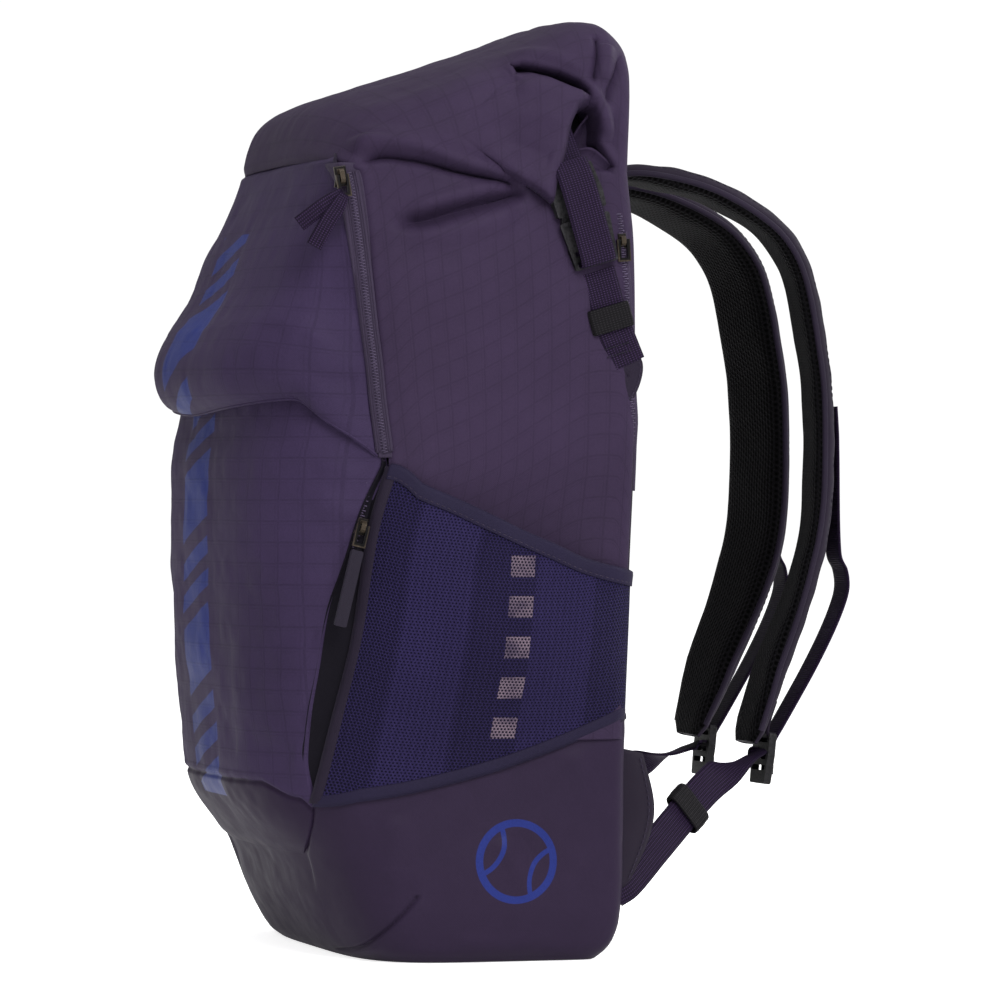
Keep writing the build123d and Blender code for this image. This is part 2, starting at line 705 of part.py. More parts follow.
# short stubs between the straps and the back panel
with BuildPart() as strap_roots:
    for side in (-1, 1):
        with BuildSketch(Plane.XY.offset(431.0)):
            with Locations((46.0 * side, 87.0)):
                RectangleRounded(18, 22, 3)
        extrude(amount=5)
write(strap_roots.part, "strap_roots")

# haul loop at the top of the back, an (x, z) outline
HAUL_LOOP = [(-46, 448), (-46, 468), (-34, 485), (34, 485), (46, 468), (46, 448),
             (28, 448), (28, 462), (23, 468), (-23, 468), (-28, 462), (-28, 448)]
HAUL_LOOP_Y = 81.6    # its face towards the wearer
with BuildPart() as haul_loop:
    with BuildSketch(Plane.XZ.offset(-HAUL_LOOP_Y)):
        with BuildLine():
            Polyline(*HAUL_LOOP, close=True)
        make_face()
    extrude(amount=2.4)
    fillet(haul_loop.edges().filter_by(Axis.Y), radius=3)
write(haul_loop.part, "haul_loop")
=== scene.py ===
"""Looks of a roll-top racket backpack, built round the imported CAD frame.

Lengths are millimetres, scaled to metres when meshes are made. x runs across the bag (+x is its
right side), y from the front (-y) to the back panel and shoulder straps (+y), z up from the floor.
"""
import math

import bmesh
import bpy
import numpy as np
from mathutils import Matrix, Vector
from mathutils.kdtree import KDTree

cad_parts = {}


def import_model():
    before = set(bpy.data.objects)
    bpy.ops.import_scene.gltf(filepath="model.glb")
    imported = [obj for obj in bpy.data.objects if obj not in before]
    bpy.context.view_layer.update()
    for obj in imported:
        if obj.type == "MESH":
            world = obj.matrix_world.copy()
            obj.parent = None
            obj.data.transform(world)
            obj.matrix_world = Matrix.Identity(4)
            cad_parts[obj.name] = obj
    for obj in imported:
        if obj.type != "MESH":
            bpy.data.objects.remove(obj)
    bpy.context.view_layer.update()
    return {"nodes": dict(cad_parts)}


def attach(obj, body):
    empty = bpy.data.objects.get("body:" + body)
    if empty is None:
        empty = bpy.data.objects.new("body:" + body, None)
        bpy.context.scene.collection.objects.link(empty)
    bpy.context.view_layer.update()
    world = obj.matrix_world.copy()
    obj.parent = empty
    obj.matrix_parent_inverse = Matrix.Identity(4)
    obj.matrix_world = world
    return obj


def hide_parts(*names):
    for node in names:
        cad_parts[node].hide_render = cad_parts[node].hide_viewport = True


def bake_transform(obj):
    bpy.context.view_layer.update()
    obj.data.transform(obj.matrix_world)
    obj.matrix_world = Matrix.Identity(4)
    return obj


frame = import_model()
MM = 0.001
SIDES = (("right", 1), ("left", -1))
scene = bpy.context.scene

# The camera, which also sets the sight lines that the side's edges are laid out along
CAM_TOWARD = np.array([0.9613, -0.2756, 0.0])  # from the bag toward the camera
CAM_RIGHT = np.array([-CAM_TOWARD[1], CAM_TOWARD[0], 0.0])
CAM_DISTANCE = 3200.0
CAM_SHIFT = 40.0
CAM_HEIGHT = 253.0
CAM_AT = CAM_TOWARD * CAM_DISTANCE + CAM_RIGHT * CAM_SHIFT + np.array([0, 0, CAM_HEIGHT])
CAM_LENS = 202.104
CAM_SENSOR = 36.0
VIEW_SLOPE = 0.2867  # shift toward -y that a point needs, per mm of x, to keep its sight line

# ==== numbers and curves ==================================================================


def ease(x, start, end):
    """Smooth step from 0 at start to 1 at end."""
    t = np.clip((np.asarray(x, float) - start) / (end - start), 0, 1)
    return t * t * (3 - 2 * t)


def unit(vectors):
    vectors = np.asarray(vectors, float)
    return vectors / np.maximum(np.linalg.norm(vectors, axis=-1, keepdims=True), 1e-12)


def length_of(path):
    return float(np.linalg.norm(np.diff(np.asarray(path, float), axis=0), axis=1).sum())


def arc_lengths(path):
    """Distance along the path at each of its points."""
    return np.concatenate([[0], np.cumsum(np.linalg.norm(np.diff(path, axis=0), axis=1))])


def columns_at(at, stations, table):
    """Every column of a table, interpolated at the given stations."""
    return np.stack([np.interp(at, stations, column) for column in table.T], -1)


def hermite(t, step, start, end, start_slope, end_slope):
    return (
        (1 + 2 * t) * (1 - t) ** 2 * start
        + t * (1 - t) ** 2 * step * start_slope
        + t * t * (3 - 2 * t) * end
        + t * t * (t - 1) * step * end_slope
    )


def monotone_curve(table):
    """Monotone cubic, held level past its ends. Table columns: station, then one or more values."""
    table = np.asarray(table, float)
    stations, values = table[:, 0], table[:, 1:]
    single = values.shape[1] == 1
    steps = np.diff(stations)[:, None]
    rates = np.diff(values, axis=0) / steps
    slopes = np.zeros_like(values)
    slopes[0], slopes[-1] = rates[0], rates[-1]
    for i in range(1, len(stations) - 1):
        before = 2 * steps[i] + steps[i - 1]
        after = steps[i] + 2 * steps[i - 1]
        with np.errstate(divide="ignore", invalid="ignore"):
            mean = (before + after) / (before / rates[i - 1] + after / rates[i])
        slopes[i] = np.where(rates[i - 1] * rates[i] > 0, mean, 0.0)

    def curve(at):
        at = np.clip(np.asarray(at, float), stations[0], stations[-1])
        i = np.clip(np.searchsorted(stations, at, side="right") - 1, 0, len(stations) - 2)
        step = (stations[i + 1] - stations[i])[..., None]
        t = (at - stations[i])[..., None] / step
        result = hermite(t, step, values[i], values[i + 1], slopes[i], slopes[i + 1])
        return result[..., 0] if single else result

    return curve


def smooth_path(points, count, closed=False):
    """Catmull-Rom through the points, resampled to count points at equal arc length."""
    points = np.asarray(points, float)
    if closed:
        points = np.vstack([points, points[:1]])
    last = len(points) - 1
    gaps = np.linalg.norm(np.diff(points, axis=0), axis=1) ** 0.5
    knots = np.concatenate([[0], np.cumsum(np.maximum(gaps, 1e-6))])
    slopes = np.zeros_like(points)
    for i in range(last + 1):
        before, after = max(i - 1, 0), min(i + 1, last)
        if closed and i in (0, last):
            span = knots[1] - knots[0] + knots[-1] - knots[-2]
            slopes[i] = (points[1] - points[-2]) / span
        else:
            slopes[i] = (points[after] - points[before]) / (knots[after] - knots[before])
    dense = np.linspace(0, knots[-1], max(40, 6 * len(points)) * 8)
    i = np.clip(np.searchsorted(knots, dense, side="right") - 1, 0, last - 1)
    step = (knots[i + 1] - knots[i])[:, None]
    t = ((dense - knots[i])[:, None]) / step
    curve = hermite(t, step, points[i], points[i + 1], slopes[i], slopes[i + 1])
    reach = arc_lengths(curve)
    even = columns_at(np.linspace(0, reach[-1], count + 1 if closed else count), reach, curve)
    return even[:-1] if closed else even


def straight(start, end, fractions):
    start, end = np.array(start, float), np.array(end, float)
    return start + (end - start) * fractions[:, None]


# ==== noise and folds =====================================================================
SHUFFLE = np.random.default_rng(5).permutation(512)


def lattice_hash(cell, seed):
    value = SHUFFLE[(cell[..., 0] + seed * 37) & 511]
    value = SHUFFLE[(value + cell[..., 1]) & 511]
    return SHUFFLE[(value + cell[..., 2]) & 511] / 255.5 - 1.0


def value_noise(points, size, seed):
    """Smooth value noise, -1..1, with cells of the given size."""
    scaled = np.asarray(points, float) / size
    cell = np.floor(scaled).astype(int)
    part = scaled - cell
    part = part * part * part * (part * (part * 6 - 15) + 10)
    total = 0.0
    for corner in np.ndindex(2, 2, 2):
        weight = 1.0
        for axis, far in enumerate(corner):
            weight = weight * (part[..., axis] if far else 1 - part[..., axis])
        total = total + weight * lattice_hash(cell + corner, seed)
    return total


def crumple(points, amount, seed):
    """Creased-cloth offset made of three sizes of noise."""
    coarse = value_noise(points, 46, seed)
    medium = value_noise(points, 21, seed + 1)
    fine = value_noise(points, 9, seed + 2)
    return amount * (0.55 * coarse + 0.3 * medium + 0.15 * fine)


def segment_gap(x, y, start, run):
    """Where points fall along a segment (0..1), and their offset from it."""
    squared = max(run @ run, 1e-9)
    t = np.clip(((x - start[0]) * run[0] + (y - start[1]) * run[1]) / squared, 0, 1)
    return t, x - start[0] - t * run[0], y - start[1] - t * run[1]


def polyline_distance(x, y, line):
    """Distance, arc fraction and signed side of points relative to a polyline."""
    line = np.asarray(line, float)
    reach = arc_lengths(line)
    best = np.full(x.shape, 1e9)
    fraction = np.zeros(x.shape)
    side = np.zeros(x.shape)
    for i in range(len(line) - 1):
        run = line[i + 1] - line[i]
        t, gap_x, gap_y = segment_gap(x, y, line[i], run)
        gap = np.hypot(gap_x, gap_y)
        nearer = gap < best
        along = (reach[i] + t * (reach[i + 1] - reach[i])) / reach[-1]
        best = np.where(nearer, gap, best)
        fraction = np.where(nearer, along, fraction)
        side = np.where(nearer, np.sign(run[0] * gap_y - run[1] * gap_x), side)
    return best, fraction, side


def polygon_distance(x, y, polygon):
    """Signed distance to a closed polygon, negative inside."""
    best = np.full(x.shape, 1e9)
    inside = np.zeros(x.shape, bool)
    for start, end in zip(polygon, np.roll(polygon, -1, 0)):
        run = end - start
        _, gap_x, gap_y = segment_gap(x, y, start, run)
        best = np.minimum(best, np.hypot(gap_x, gap_y))
        rise = run[1] if abs(run[1]) > 1e-12 else 1e-12
        crossing = start[0] + (y - start[1]) * run[0] / rise
        inside ^= ((start[1] > y) != (end[1] > y)) & (x < crossing)
    return np.where(inside, -best, best)


def soft_line(points):
    return smooth_path(points, 26)


def fold(x, y, line, width, height, ends=(0.15, 0.15), skew=0.0):
    """Ridge (height > 0) or trough along a line.

    It fades over the given fractions at both ends; skew sharpens one side.
    """
    distance, fraction, side = polyline_distance(x, y, line)
    fade = ease(fraction, 0, ends[0]) * ease(1 - fraction, 0, ends[1])
    return height * fade * np.exp(-((distance / (width * (1 + skew * side))) ** 2))


def folds(x, y, table):
    """Sum of folds. Table columns: width, height, end fades, skew, points."""
    return sum(
        fold(x, y, soft_line(points), width, height, ends, skew)
        for width, height, ends, skew, points in table
    )


# ==== mesh builders =======================================================================


def on_side(points, side):
    """Points drawn on the right, carried to the given side."""
    return points * np.array([side, 1.0, 1.0])


def outward_normals(grid, i, j, direction):
    """Normals of a grid, turned so that the one at (i, j) faces the direction."""
    normals = unit(np.cross(np.gradient(grid, axis=0), np.gradient(grid, axis=1)))
    return -normals if normals[i, j] @ np.array(direction, float) < 0 else normals


def read_vectors(items, field="co"):
    values = np.zeros(len(items) * 3)
    items.foreach_get(field, values)
    return values.reshape(-1, 3)


def make(name, verts, faces, mat, uv, more=(), face_mat=None):
    mesh = bpy.data.meshes.new(name)
    scaled = (np.asarray(verts, float) * MM).tolist()
    mesh.from_pydata(scaled, [], [list(map(int, face)) for face in faces])
    for slot in (mat, *more):
        mesh.materials.append(slot)
    if face_mat is not None:
        mesh.polygons.foreach_set("material_index", np.asarray(face_mat, np.int32))
    mesh.polygons.foreach_set("use_smooth", [True] * len(mesh.polygons))
    layer = mesh.uv_layers.new(name="UVMap")
    corners = np.zeros(len(mesh.loops), np.int32)
    mesh.loops.foreach_get("vertex_index", corners)
    uv = np.asarray(uv, float) * MM
    layer.data.foreach_set("uv", uv[corners].astype(np.float32).ravel())
    mesh.update()
    obj = bpy.data.objects.new(name, mesh)
    scene.collection.objects.link(obj)
    return obj


def ride(obj, body="bag"):
    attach(obj, body)
    return obj


def face_toward(obj, index, direction):
    """Flips the mesh if the indexed face looks away from the direction."""
    if np.dot(np.array(obj.data.polygons[index].normal[:]), direction) < 0:
        obj.data.flip_normals()


def grid_faces(rows, columns, closed_u=False, closed_v=False, flip=False):
    i, j = np.meshgrid(
        np.arange(rows if closed_u else rows - 1),
        np.arange(columns if closed_v else columns - 1),
        indexing="ij",
    )
    next_i, next_j = (i + 1) % rows, (j + 1) % columns
    corners = [
        i * columns + j,
        next_i * columns + j,
        next_i * columns + next_j,
        i * columns + next_j,
    ]
    faces = np.stack(corners, -1).reshape(-1, 4)
    return faces[:, ::-1] if flip else faces


def capped_faces(rows, columns):
    """Faces of a closed section swept along rows, with a cap at each end."""
    faces = grid_faces(rows, columns, closed_v=True).tolist()
    faces.append(list(range(columns))[::-1])
    faces.append([(rows - 1) * columns + k for k in range(columns)])
    return faces


def arc_uv(grid):
    """Arc-length coordinates of a grid, centred on v."""
    down = np.cumsum(np.linalg.norm(np.diff(grid, axis=0), axis=2), axis=0)
    over = np.cumsum(np.linalg.norm(np.diff(grid, axis=1), axis=2), axis=1)
    u = np.concatenate([np.zeros((1, grid.shape[1])), down])
    v = np.concatenate([np.zeros((grid.shape[0], 1)), over], axis=1)
    u = np.repeat(u.mean(1)[:, None], grid.shape[1], 1)
    return u, v - v[:, -1:] / 2


def sheet(name, grid, mat, thick, uv=None, offset=-1.0, flip=False, closed_u=False,
          closed_v=False, more=()):
    """Cloth of the given thickness over a grid of points."""
    u, v = arc_uv(grid) if uv is None else uv
    faces = grid_faces(*grid.shape[:2], closed_u, closed_v, flip)
    flat_uv = np.stack([u, v], -1).reshape(-1, 2)
    obj = make(name, grid.reshape(-1, 3), faces, mat, flat_uv, more)
    shell = obj.modifiers.new("thick", "SOLIDIFY")
    shell.thickness = thick * MM
    shell.offset = offset
    shell.use_even_offset = False
    shell.use_rim = True
    return obj


def tube_mesh(path, radius, around=10, squash=(1.0, 1.0), up=None):
    """Verts, faces and uv of a tube. Radius may vary; squash scales it along up and across it."""
    path = np.asarray(path, float)
    count = len(path)
    radius = np.broadcast_to(np.asarray(radius, float), (count,))
    run = unit(np.gradient(path, axis=0))
    if up is None:
        guess = np.array([0, 0, 1.0]) if abs(run[0, 2]) < 0.9 else np.array([1.0, 0, 0])
        normals = [unit(guess - run[0] * (guess @ run[0]))]
        for i in range(1, count):
            carried = normals[-1] - run[i] * (normals[-1] @ run[i])
            normals.append(unit(carried))
        normals = np.array(normals)
    else:
        up = np.broadcast_to(np.asarray(up, float), path.shape)
        normals = unit(up - run * (up * run).sum(1, keepdims=True))
    beside = np.cross(run, normals)
    angles = np.linspace(0, 2 * np.pi, around, endpoint=False)
    ring = (
        np.cos(angles)[None, :, None] * normals[:, None] * squash[0]
        + np.sin(angles)[None, :, None] * beside[:, None] * squash[1]
    )
    verts = (path[:, None] + radius[:, None, None] * ring).reshape(-1, 3)
    girth = np.tile(angles * float(np.mean(radius)), count)
    uv = np.stack([np.repeat(arc_lengths(path), around), girth], 1)
    return verts, capped_faces(count, around), uv


def tube(name, path, radius, mat, around=10, **shape):
    verts, faces, uv = tube_mesh(path, radius, around, **shape)
    return make(name, verts, faces, mat, uv)


def join_tubes(name, tubes, mat):
    verts, faces, uvs, count = [], [], [], 0
    for part, part_faces, part_uv in tubes:
        verts.append(part)
        faces += [[i + count for i in face] for face in part_faces]
        uvs.append(part_uv)
        count += len(part)
    return make(name, np.vstack(verts), faces, mat, np.vstack(uvs))


def ribbon(name, path, across, mat, width, thick, pitch=1.25, ripple=0.13,
           taper=((0, 1), (1, 1))):
    """Closed woven tape; across is its width direction, pitch and ripple shape its cross ribs.

    Taper pairs: fraction of the length, fraction of the width.
    """
    path = np.asarray(path, float)
    both = np.hstack([path, np.broadcast_to(np.asarray(across, float), path.shape)])
    count = max(6, int(length_of(path) / 0.42))
    reach = arc_lengths(path)
    at = np.linspace(0, reach[-1], count)
    both = columns_at(at, reach, both)
    path, across = both[:, :3], unit(both[:, 3:])
    run = unit(np.gradient(path, axis=0))
    across = unit(across - run * (across * run).sum(1, keepdims=True))
    normals = np.cross(run, across)
    wave = ripple * np.cos(2 * np.pi * at / pitch)
    half_width = width / 2.0 * np.interp(at / reach[-1], *zip(*taper))
    shares = np.linspace(-1, 1, 9)
    rows = []
    for face in (1, -1):
        for share in shares[::face]:
            edge = abs(share) > 0.98
            half = (0.45 if edge else 1.0) * thick / 2 + wave * (not edge)
            beside = across * (share * half_width)[:, None]
            rows.append(path + beside + normals * (face * half)[:, None])
    columns = len(rows)
    v = np.tile(np.concatenate([shares, shares[::-1]]) * width / 2, count)
    uv = np.stack([np.repeat(at, columns), v], 1)
    verts = np.stack(rows, 1).reshape(-1, 3)
    return make(name, verts, capped_faces(count, columns), mat, uv)


def stitches(name, path, normal, mat, length, gap, radius, lift=0.1):
    """Row of sewn stitches along a path, their ends sunk into the cloth."""
    path = np.asarray(path, float)
    normal = np.broadcast_to(np.asarray(normal, float), path.shape)
    reach = arc_lengths(path)
    swell = np.array([0.7, 1, 1, 1, 0.7]) * radius
    parts = []
    for i in range(max(1, int(length_of(path) / (length + gap)))):
        begin = i * (length + gap) + gap / 2
        start, end = (columns_at(s, reach, path) for s in (begin, begin + length))
        up_start, up_end = (unit(columns_at(s, reach, normal)) for s in (begin, begin + length))
        run = unit(end - start)
        points = [
            start - up_start * radius * 0.8,
            start + run * length * 0.18 + up_start * lift,
            (start + end) / 2 + unit(up_start + up_end) * (lift + 0.06),
            end - run * length * 0.18 + up_end * lift,
            end - up_end * radius * 0.8,
        ]
        parts.append(tube_mesh(points, swell, 6))
    return join_tubes(name, parts, mat)


SEAM = dict(length=2.2, gap=1.2, radius=0.28)
LONG_SEAM = dict(length=2.4, gap=1.2, radius=0.28)

# ==== materials ===========================================================================


def srgb(*channels):
    """Linear colour from 0..255 sRGB channels."""

    def linear(value):
        value /= 255.0
        return value / 12.92 if value <= 0.04045 else ((value + 0.055) / 1.055) ** 2.4

    return (*map(linear, channels), 1.0)


class Nodes:
    """Terse node building. Noise scales are per metre, other coordinates millimetres."""

    def __init__(self, name):
        self.material = bpy.data.materials.new(name)
        self.material.use_nodes = True
        self.tree = self.material.node_tree
        self.surface = self.tree.nodes["Principled BSDF"]
        self.place = self.add("ShaderNodeTexCoord").outputs["Object"]

    def add(self, kind, inputs=None, **props):
        node = self.tree.nodes.new(kind)
        for key, value in props.items():
            setattr(node, key, value)
        for key, value in (inputs or {}).items():
            self.put(node.inputs[key], value)
        return node

    def put(self, socket, value):
        if isinstance(value, bpy.types.NodeSocket):
            self.tree.links.new(value, socket)
        else:
            socket.default_value = value

    def math(self, operation, *values, clamp=False):
        inputs = dict(enumerate(values))
        node = self.add("ShaderNodeMath", inputs, operation=operation, use_clamp=clamp)
        return node.outputs[0]

    def chain(self, operation, first, *rest):
        for value in rest:
            first = self.math(operation, first, value)
        return first

    def mul(self, *values):
        return self.chain("MULTIPLY", *values)

    def plus(self, *values):
        return self.chain("ADD", *values)

    def minus(self, first, second):
        return self.math("SUBTRACT", first, second)

    def most(self, first, second):
        return self.math("MAXIMUM", first, second)

    def size(self, value):
        return self.math("ABSOLUTE", value)

    def ramp(self, value, start, end, low=0.0, high=1.0):
        """Smooth step from low at start to high at end."""
        inputs = {
            "Value": value, "From Min": start, "From Max": end, "To Min": low, "To Max": high,
        }
        node = self.add("ShaderNodeMapRange", inputs, interpolation_type="SMOOTHSTEP")
        return node.outputs["Result"]

    def window(self, value, low, high, soft):
        """1 between low and high, each edge soft mm wide and lying inside."""
        rise = self.ramp(value, low, low + soft)
        return self.mul(rise, self.ramp(value, high, high - soft))

    def mix(self, factor, first, second):
        node = self.add("ShaderNodeMix", data_type="RGBA")
        for index, value in ((0, factor), (6, first), (7, second)):
            self.put(node.inputs[index], value)
        return node.outputs[2]

    def tint(self, color, shade):
        inputs = {0: color[:3], "Scale": shade}
        return self.add("ShaderNodeVectorMath", inputs, operation="SCALE").outputs[0]

    def in_mm(self, vector, axes):
        parts = self.add("ShaderNodeSeparateXYZ", {0: vector}).outputs
        return [self.mul(parts[i], 1000.0) for i in range(axes)]

    def uv(self):
        return self.in_mm(self.add("ShaderNodeUVMap", uv_map="UVMap").outputs[0], 2)

    def xyz(self):
        return self.in_mm(self.place, 3)

    def noise(self, scale, detail=3.0, rough=0.55):
        inputs = {"Vector": self.place, "Scale": scale, "Detail": detail, "Roughness": rough}
        return self.add("ShaderNodeTexNoise", inputs).outputs["Fac"]

    def pointiness(self, start, end):
        """1 on sharp convex edges."""
        geometry = self.add("ShaderNodeNewGeometry")
        return self.ramp(geometry.outputs["Pointiness"], start, end)

    def bump(self, height, strength, distance, normal=None):
        inputs = {"Height": height, "Strength": strength, "Distance": distance}
        if normal is not None:
            inputs["Normal"] = normal
        return self.add("ShaderNodeBump", inputs).outputs["Normal"]

    def wave(self, value, period, phase=0.0):
        return self.math("SINE", self.math("MULTIPLY_ADD", value, 2 * math.pi / period, phase))

    def line(self, value, cell, width):
        """1 on thin lines, one per cell."""
        folded = self.math("PINGPONG", value, cell / 2)
        return self.ramp(folded, width / 2 + 0.25, width / 2)

    def finish(self, color, rough, normal=None, sheen=0.0, spec=0.04, metallic=0.0):
        values = {
            "Base Color": color,
            "Roughness": rough,
            "Sheen Weight": sheen,
            "Sheen Roughness": 0.4,
            "Sheen Tint": (0.6, 0.55, 0.75, 1),
            "Specular IOR Level": spec,
            "Metallic": metallic,
        }
        if normal is not None:
            values["Normal"] = normal
        for key, value in values.items():
            self.put(self.surface.inputs[key], value)
        return self.material


def woven(name, base, cell=0, weave=0.9, weave_bump=0.35, rough=0.6, sheen=0.012, printed=None,
          crumpled=0.25, spec=0.04, fade=0.1):
    """Woven cloth: weave is the thread period, cell the spacing of ripstop lines (0 for none)."""
    nodes = Nodes(name)
    ramp = nodes.ramp
    u, v = nodes.uv()
    threads = nodes.mul(nodes.wave(u, weave), nodes.wave(v, weave))
    big = nodes.noise(9.0, detail=4.0)
    mid = nodes.noise(55.0, detail=4.0, rough=0.6)
    fine = nodes.noise(900.0, detail=2.0, rough=0.7)
    shade = nodes.plus(
        ramp(big, 0.3, 0.7, 1 - fade, 1 + fade),
        nodes.mul(threads, 0.035),
        ramp(fine, 0.3, 0.7, -0.05, 0.05),
        ramp(mid, 0.3, 0.7, -0.03, 0.03),
    )
    height = nodes.mul(threads, 0.12)
    if cell:
        # a strong line and a fainter one beside it, both ways
        strong = nodes.most(*(nodes.line(axis, cell, 0.75) for axis in (u, v)))
        faint = nodes.most(*(nodes.line(nodes.plus(axis, 1.9), cell, 0.4) for axis in (u, v)))
        grid = nodes.most(strong, nodes.mul(faint, 0.5))
        shade = nodes.minus(shade, nodes.mul(grid, 0.13))
        height = nodes.plus(height, nodes.mul(grid, 0.3))
    color = nodes.tint(base, shade)
    roughness = ramp(mid, 0.2, 0.8, rough - 0.05, rough + 0.07)
    if printed is not None:
        # print worn thin by the fine noise, and a little glossier than the cloth
        mask = nodes.mul(printed(nodes, u, v), ramp(fine, 0.25, 0.42, 0.86, 1.0))
        color = nodes.mix(mask, color, nodes.tint(srgb(28, 36, 88), shade))
        roughness = nodes.math("MULTIPLY_ADD", mask, -0.12, roughness)
    normal = nodes.bump(height, strength=weave_bump, distance=0.0006)
    normal = nodes.bump(mid, strength=crumpled, distance=0.0012, normal=normal)
    return nodes.finish(color, roughness, normal, sheen=sheen, spec=spec)


def print_blocks(nodes, u, v):
    """Slanted blocks up the middle of the front: one broad, two narrow, and again."""
    slanted = nodes.plus(v, nodes.mul(u, -0.3))
    phase = nodes.math("MODULO", nodes.minus(slanted, 60.0), 86.0)
    inside = nodes.ramp(nodes.size(u), 28.6, 28.2)

    def band(low, high):
        return nodes.window(phase, low - 0.3, high + 0.3, 0.6)

    blocks = nodes.most(band(4, 42), nodes.most(band(51, 61), band(69, 79)))
    extent = nodes.window(v, 88.0, 401.0, 0.6)
    return nodes.math("MULTIPLY", nodes.mul(blocks, inside), extent, clamp=True)


def print_ball(nodes, u, v):
    """Ball pictogram on the base's right side: a ring with two curved seams."""
    x, y, z = nodes.xyz()
    ball_y, ball_z, radius = 8.0, 56.0, 21.0
    seam_y, seam_z = 27, 12  # seam centres, either way from the ball's

    def ring(centre_y, centre_z, ring_radius, half_line):
        squares = [
            nodes.math("POWER", nodes.plus(axis, -centre), 2.0)
            for axis, centre in ((y, centre_y), (z, centre_z))
        ]
        distance = nodes.math("SQRT", nodes.plus(*squares))
        off_line = nodes.size(nodes.minus(distance, ring_radius))
        return nodes.ramp(off_line, half_line + 0.25, half_line - 0.1), distance

    outer, distance = ring(ball_y, ball_z, radius, 2.0)
    inside = nodes.ramp(distance, radius, radius - 0.4)
    first, _ = ring(ball_y - seam_y, ball_z + seam_z, 20.0, 1.3)
    second, _ = ring(ball_y + seam_y, ball_z - seam_z, 20.0, 1.3)
    seams = nodes.mul(nodes.most(first, second), inside)
    right = nodes.ramp(x, 90.0, 100.0)
    return nodes.math("MULTIPLY", nodes.most(outer, seams), right, clamp=True)


def printed_bars(nodes, color, hole):
    """Column of worn light bars on the right-hand mesh pocket, left out where there are holes."""
    x, y, z = nodes.xyz()
    phase = nodes.math("MODULO", nodes.minus(z, 120.0), 22.0)
    bars = nodes.window(phase, 3.0, 15.0, 0.4)
    slant = nodes.plus(nodes.minus(y, 4.0), nodes.mul(nodes.minus(z, 170.0), -0.1))
    wide = nodes.ramp(nodes.size(slant), 7.2, 6.8)
    tall = nodes.window(z, 120.0, 226.0, 1.0)
    mask = nodes.mul(bars, wide, tall, nodes.ramp(x, 60.0, 70.0))
    patch = nodes.math("MULTIPLY", mask, nodes.minus(1.0, hole), clamp=True)
    wear = nodes.ramp(nodes.noise(60.0, detail=2.0), 0.3, 0.6, 0.25, 0.8)
    return nodes.mix(nodes.mul(patch, wear), color, srgb(104, 90, 100))


def knit_mesh(name, base, pore, pitch_u, pitch_v, hole_size, strength, rough, pocket=False):
    """Knit with staggered holes; the pocket one adds bands, ribs and printed bars."""
    nodes = Nodes(name)
    u, v = nodes.uv()
    row = nodes.math("FLOOR", nodes.math("DIVIDE", v, pitch_v))
    shift = nodes.mul(nodes.math("MODULO", nodes.plus(row, 4000.0), 2.0), 0.5)

    def from_centre(position):
        return nodes.minus(nodes.math("FRACT", nodes.plus(position, 400.0)), 0.5)

    hole_u = from_centre(nodes.plus(nodes.math("DIVIDE", u, pitch_u), shift))
    hole_v = from_centre(nodes.math("DIVIDE", v, pitch_v))
    square_u = nodes.math("POWER", hole_u, 2.0)
    square_v = nodes.mul(nodes.math("POWER", hole_v, 2.0), 0.7)
    distance = nodes.math("SQRT", nodes.plus(square_u, square_v))
    if pocket:
        bands = nodes.ramp(nodes.wave(u, 74.0, 0.9), -0.2, 0.2, 0.72, 1.08)
        distance = nodes.math("DIVIDE", distance, bands)
    hole = nodes.ramp(distance, hole_size + 0.08, hole_size - 0.08)
    shade = nodes.plus(
        nodes.ramp(nodes.noise(10.0), 0.3, 0.7, 0.9, 1.1),
        nodes.ramp(nodes.noise(1400.0, detail=2.0, rough=0.7), 0.3, 0.7, -0.12, 0.12),
    )
    if pocket:
        shade = nodes.plus(shade, nodes.mul(nodes.wave(u, pitch_u * 2), 0.07))
    color = nodes.mix(hole, nodes.tint(base, shade), pore)
    height = nodes.mul(nodes.ramp(distance, 0.15, 0.5), 1.0)
    if pocket:
        color = printed_bars(nodes, color, hole)
    normal = nodes.bump(height, strength=strength, distance=0.0009)
    normal = nodes.bump(nodes.noise(70.0), strength=0.15, distance=0.001, normal=normal)
    return nodes.finish(color, rough, normal, sheen=0.01, spec=0.03)


def webbing(name, base, light, pitch=1.7):
    """Ribbed tape; pitch is the spacing of its lengthwise rows."""
    nodes = Nodes(name)
    u, v = nodes.uv()
    rows = nodes.ramp(nodes.wave(v, pitch), -0.3, 0.8)
    ribs = nodes.ramp(nodes.wave(u, 1.25, math.pi / 2), -0.6, 0.7)
    fine = nodes.noise(1500.0, detail=2.0, rough=0.7)
    lit = nodes.mul(rows, ribs, nodes.ramp(fine, 0.2, 0.8, 0.5, 1.0))
    color = nodes.mix(lit, base, light)
    edge = nodes.ramp(nodes.size(v), 8.7, 9.4)
    color = nodes.mix(nodes.mul(edge, 0.4), color, base)
    height = nodes.plus(nodes.mul(ribs, 0.6), nodes.mul(rows, 0.4))
    normal = nodes.bump(height, strength=0.5, distance=0.0004)
    return nodes.finish(color, 0.62, normal, sheen=0.012)


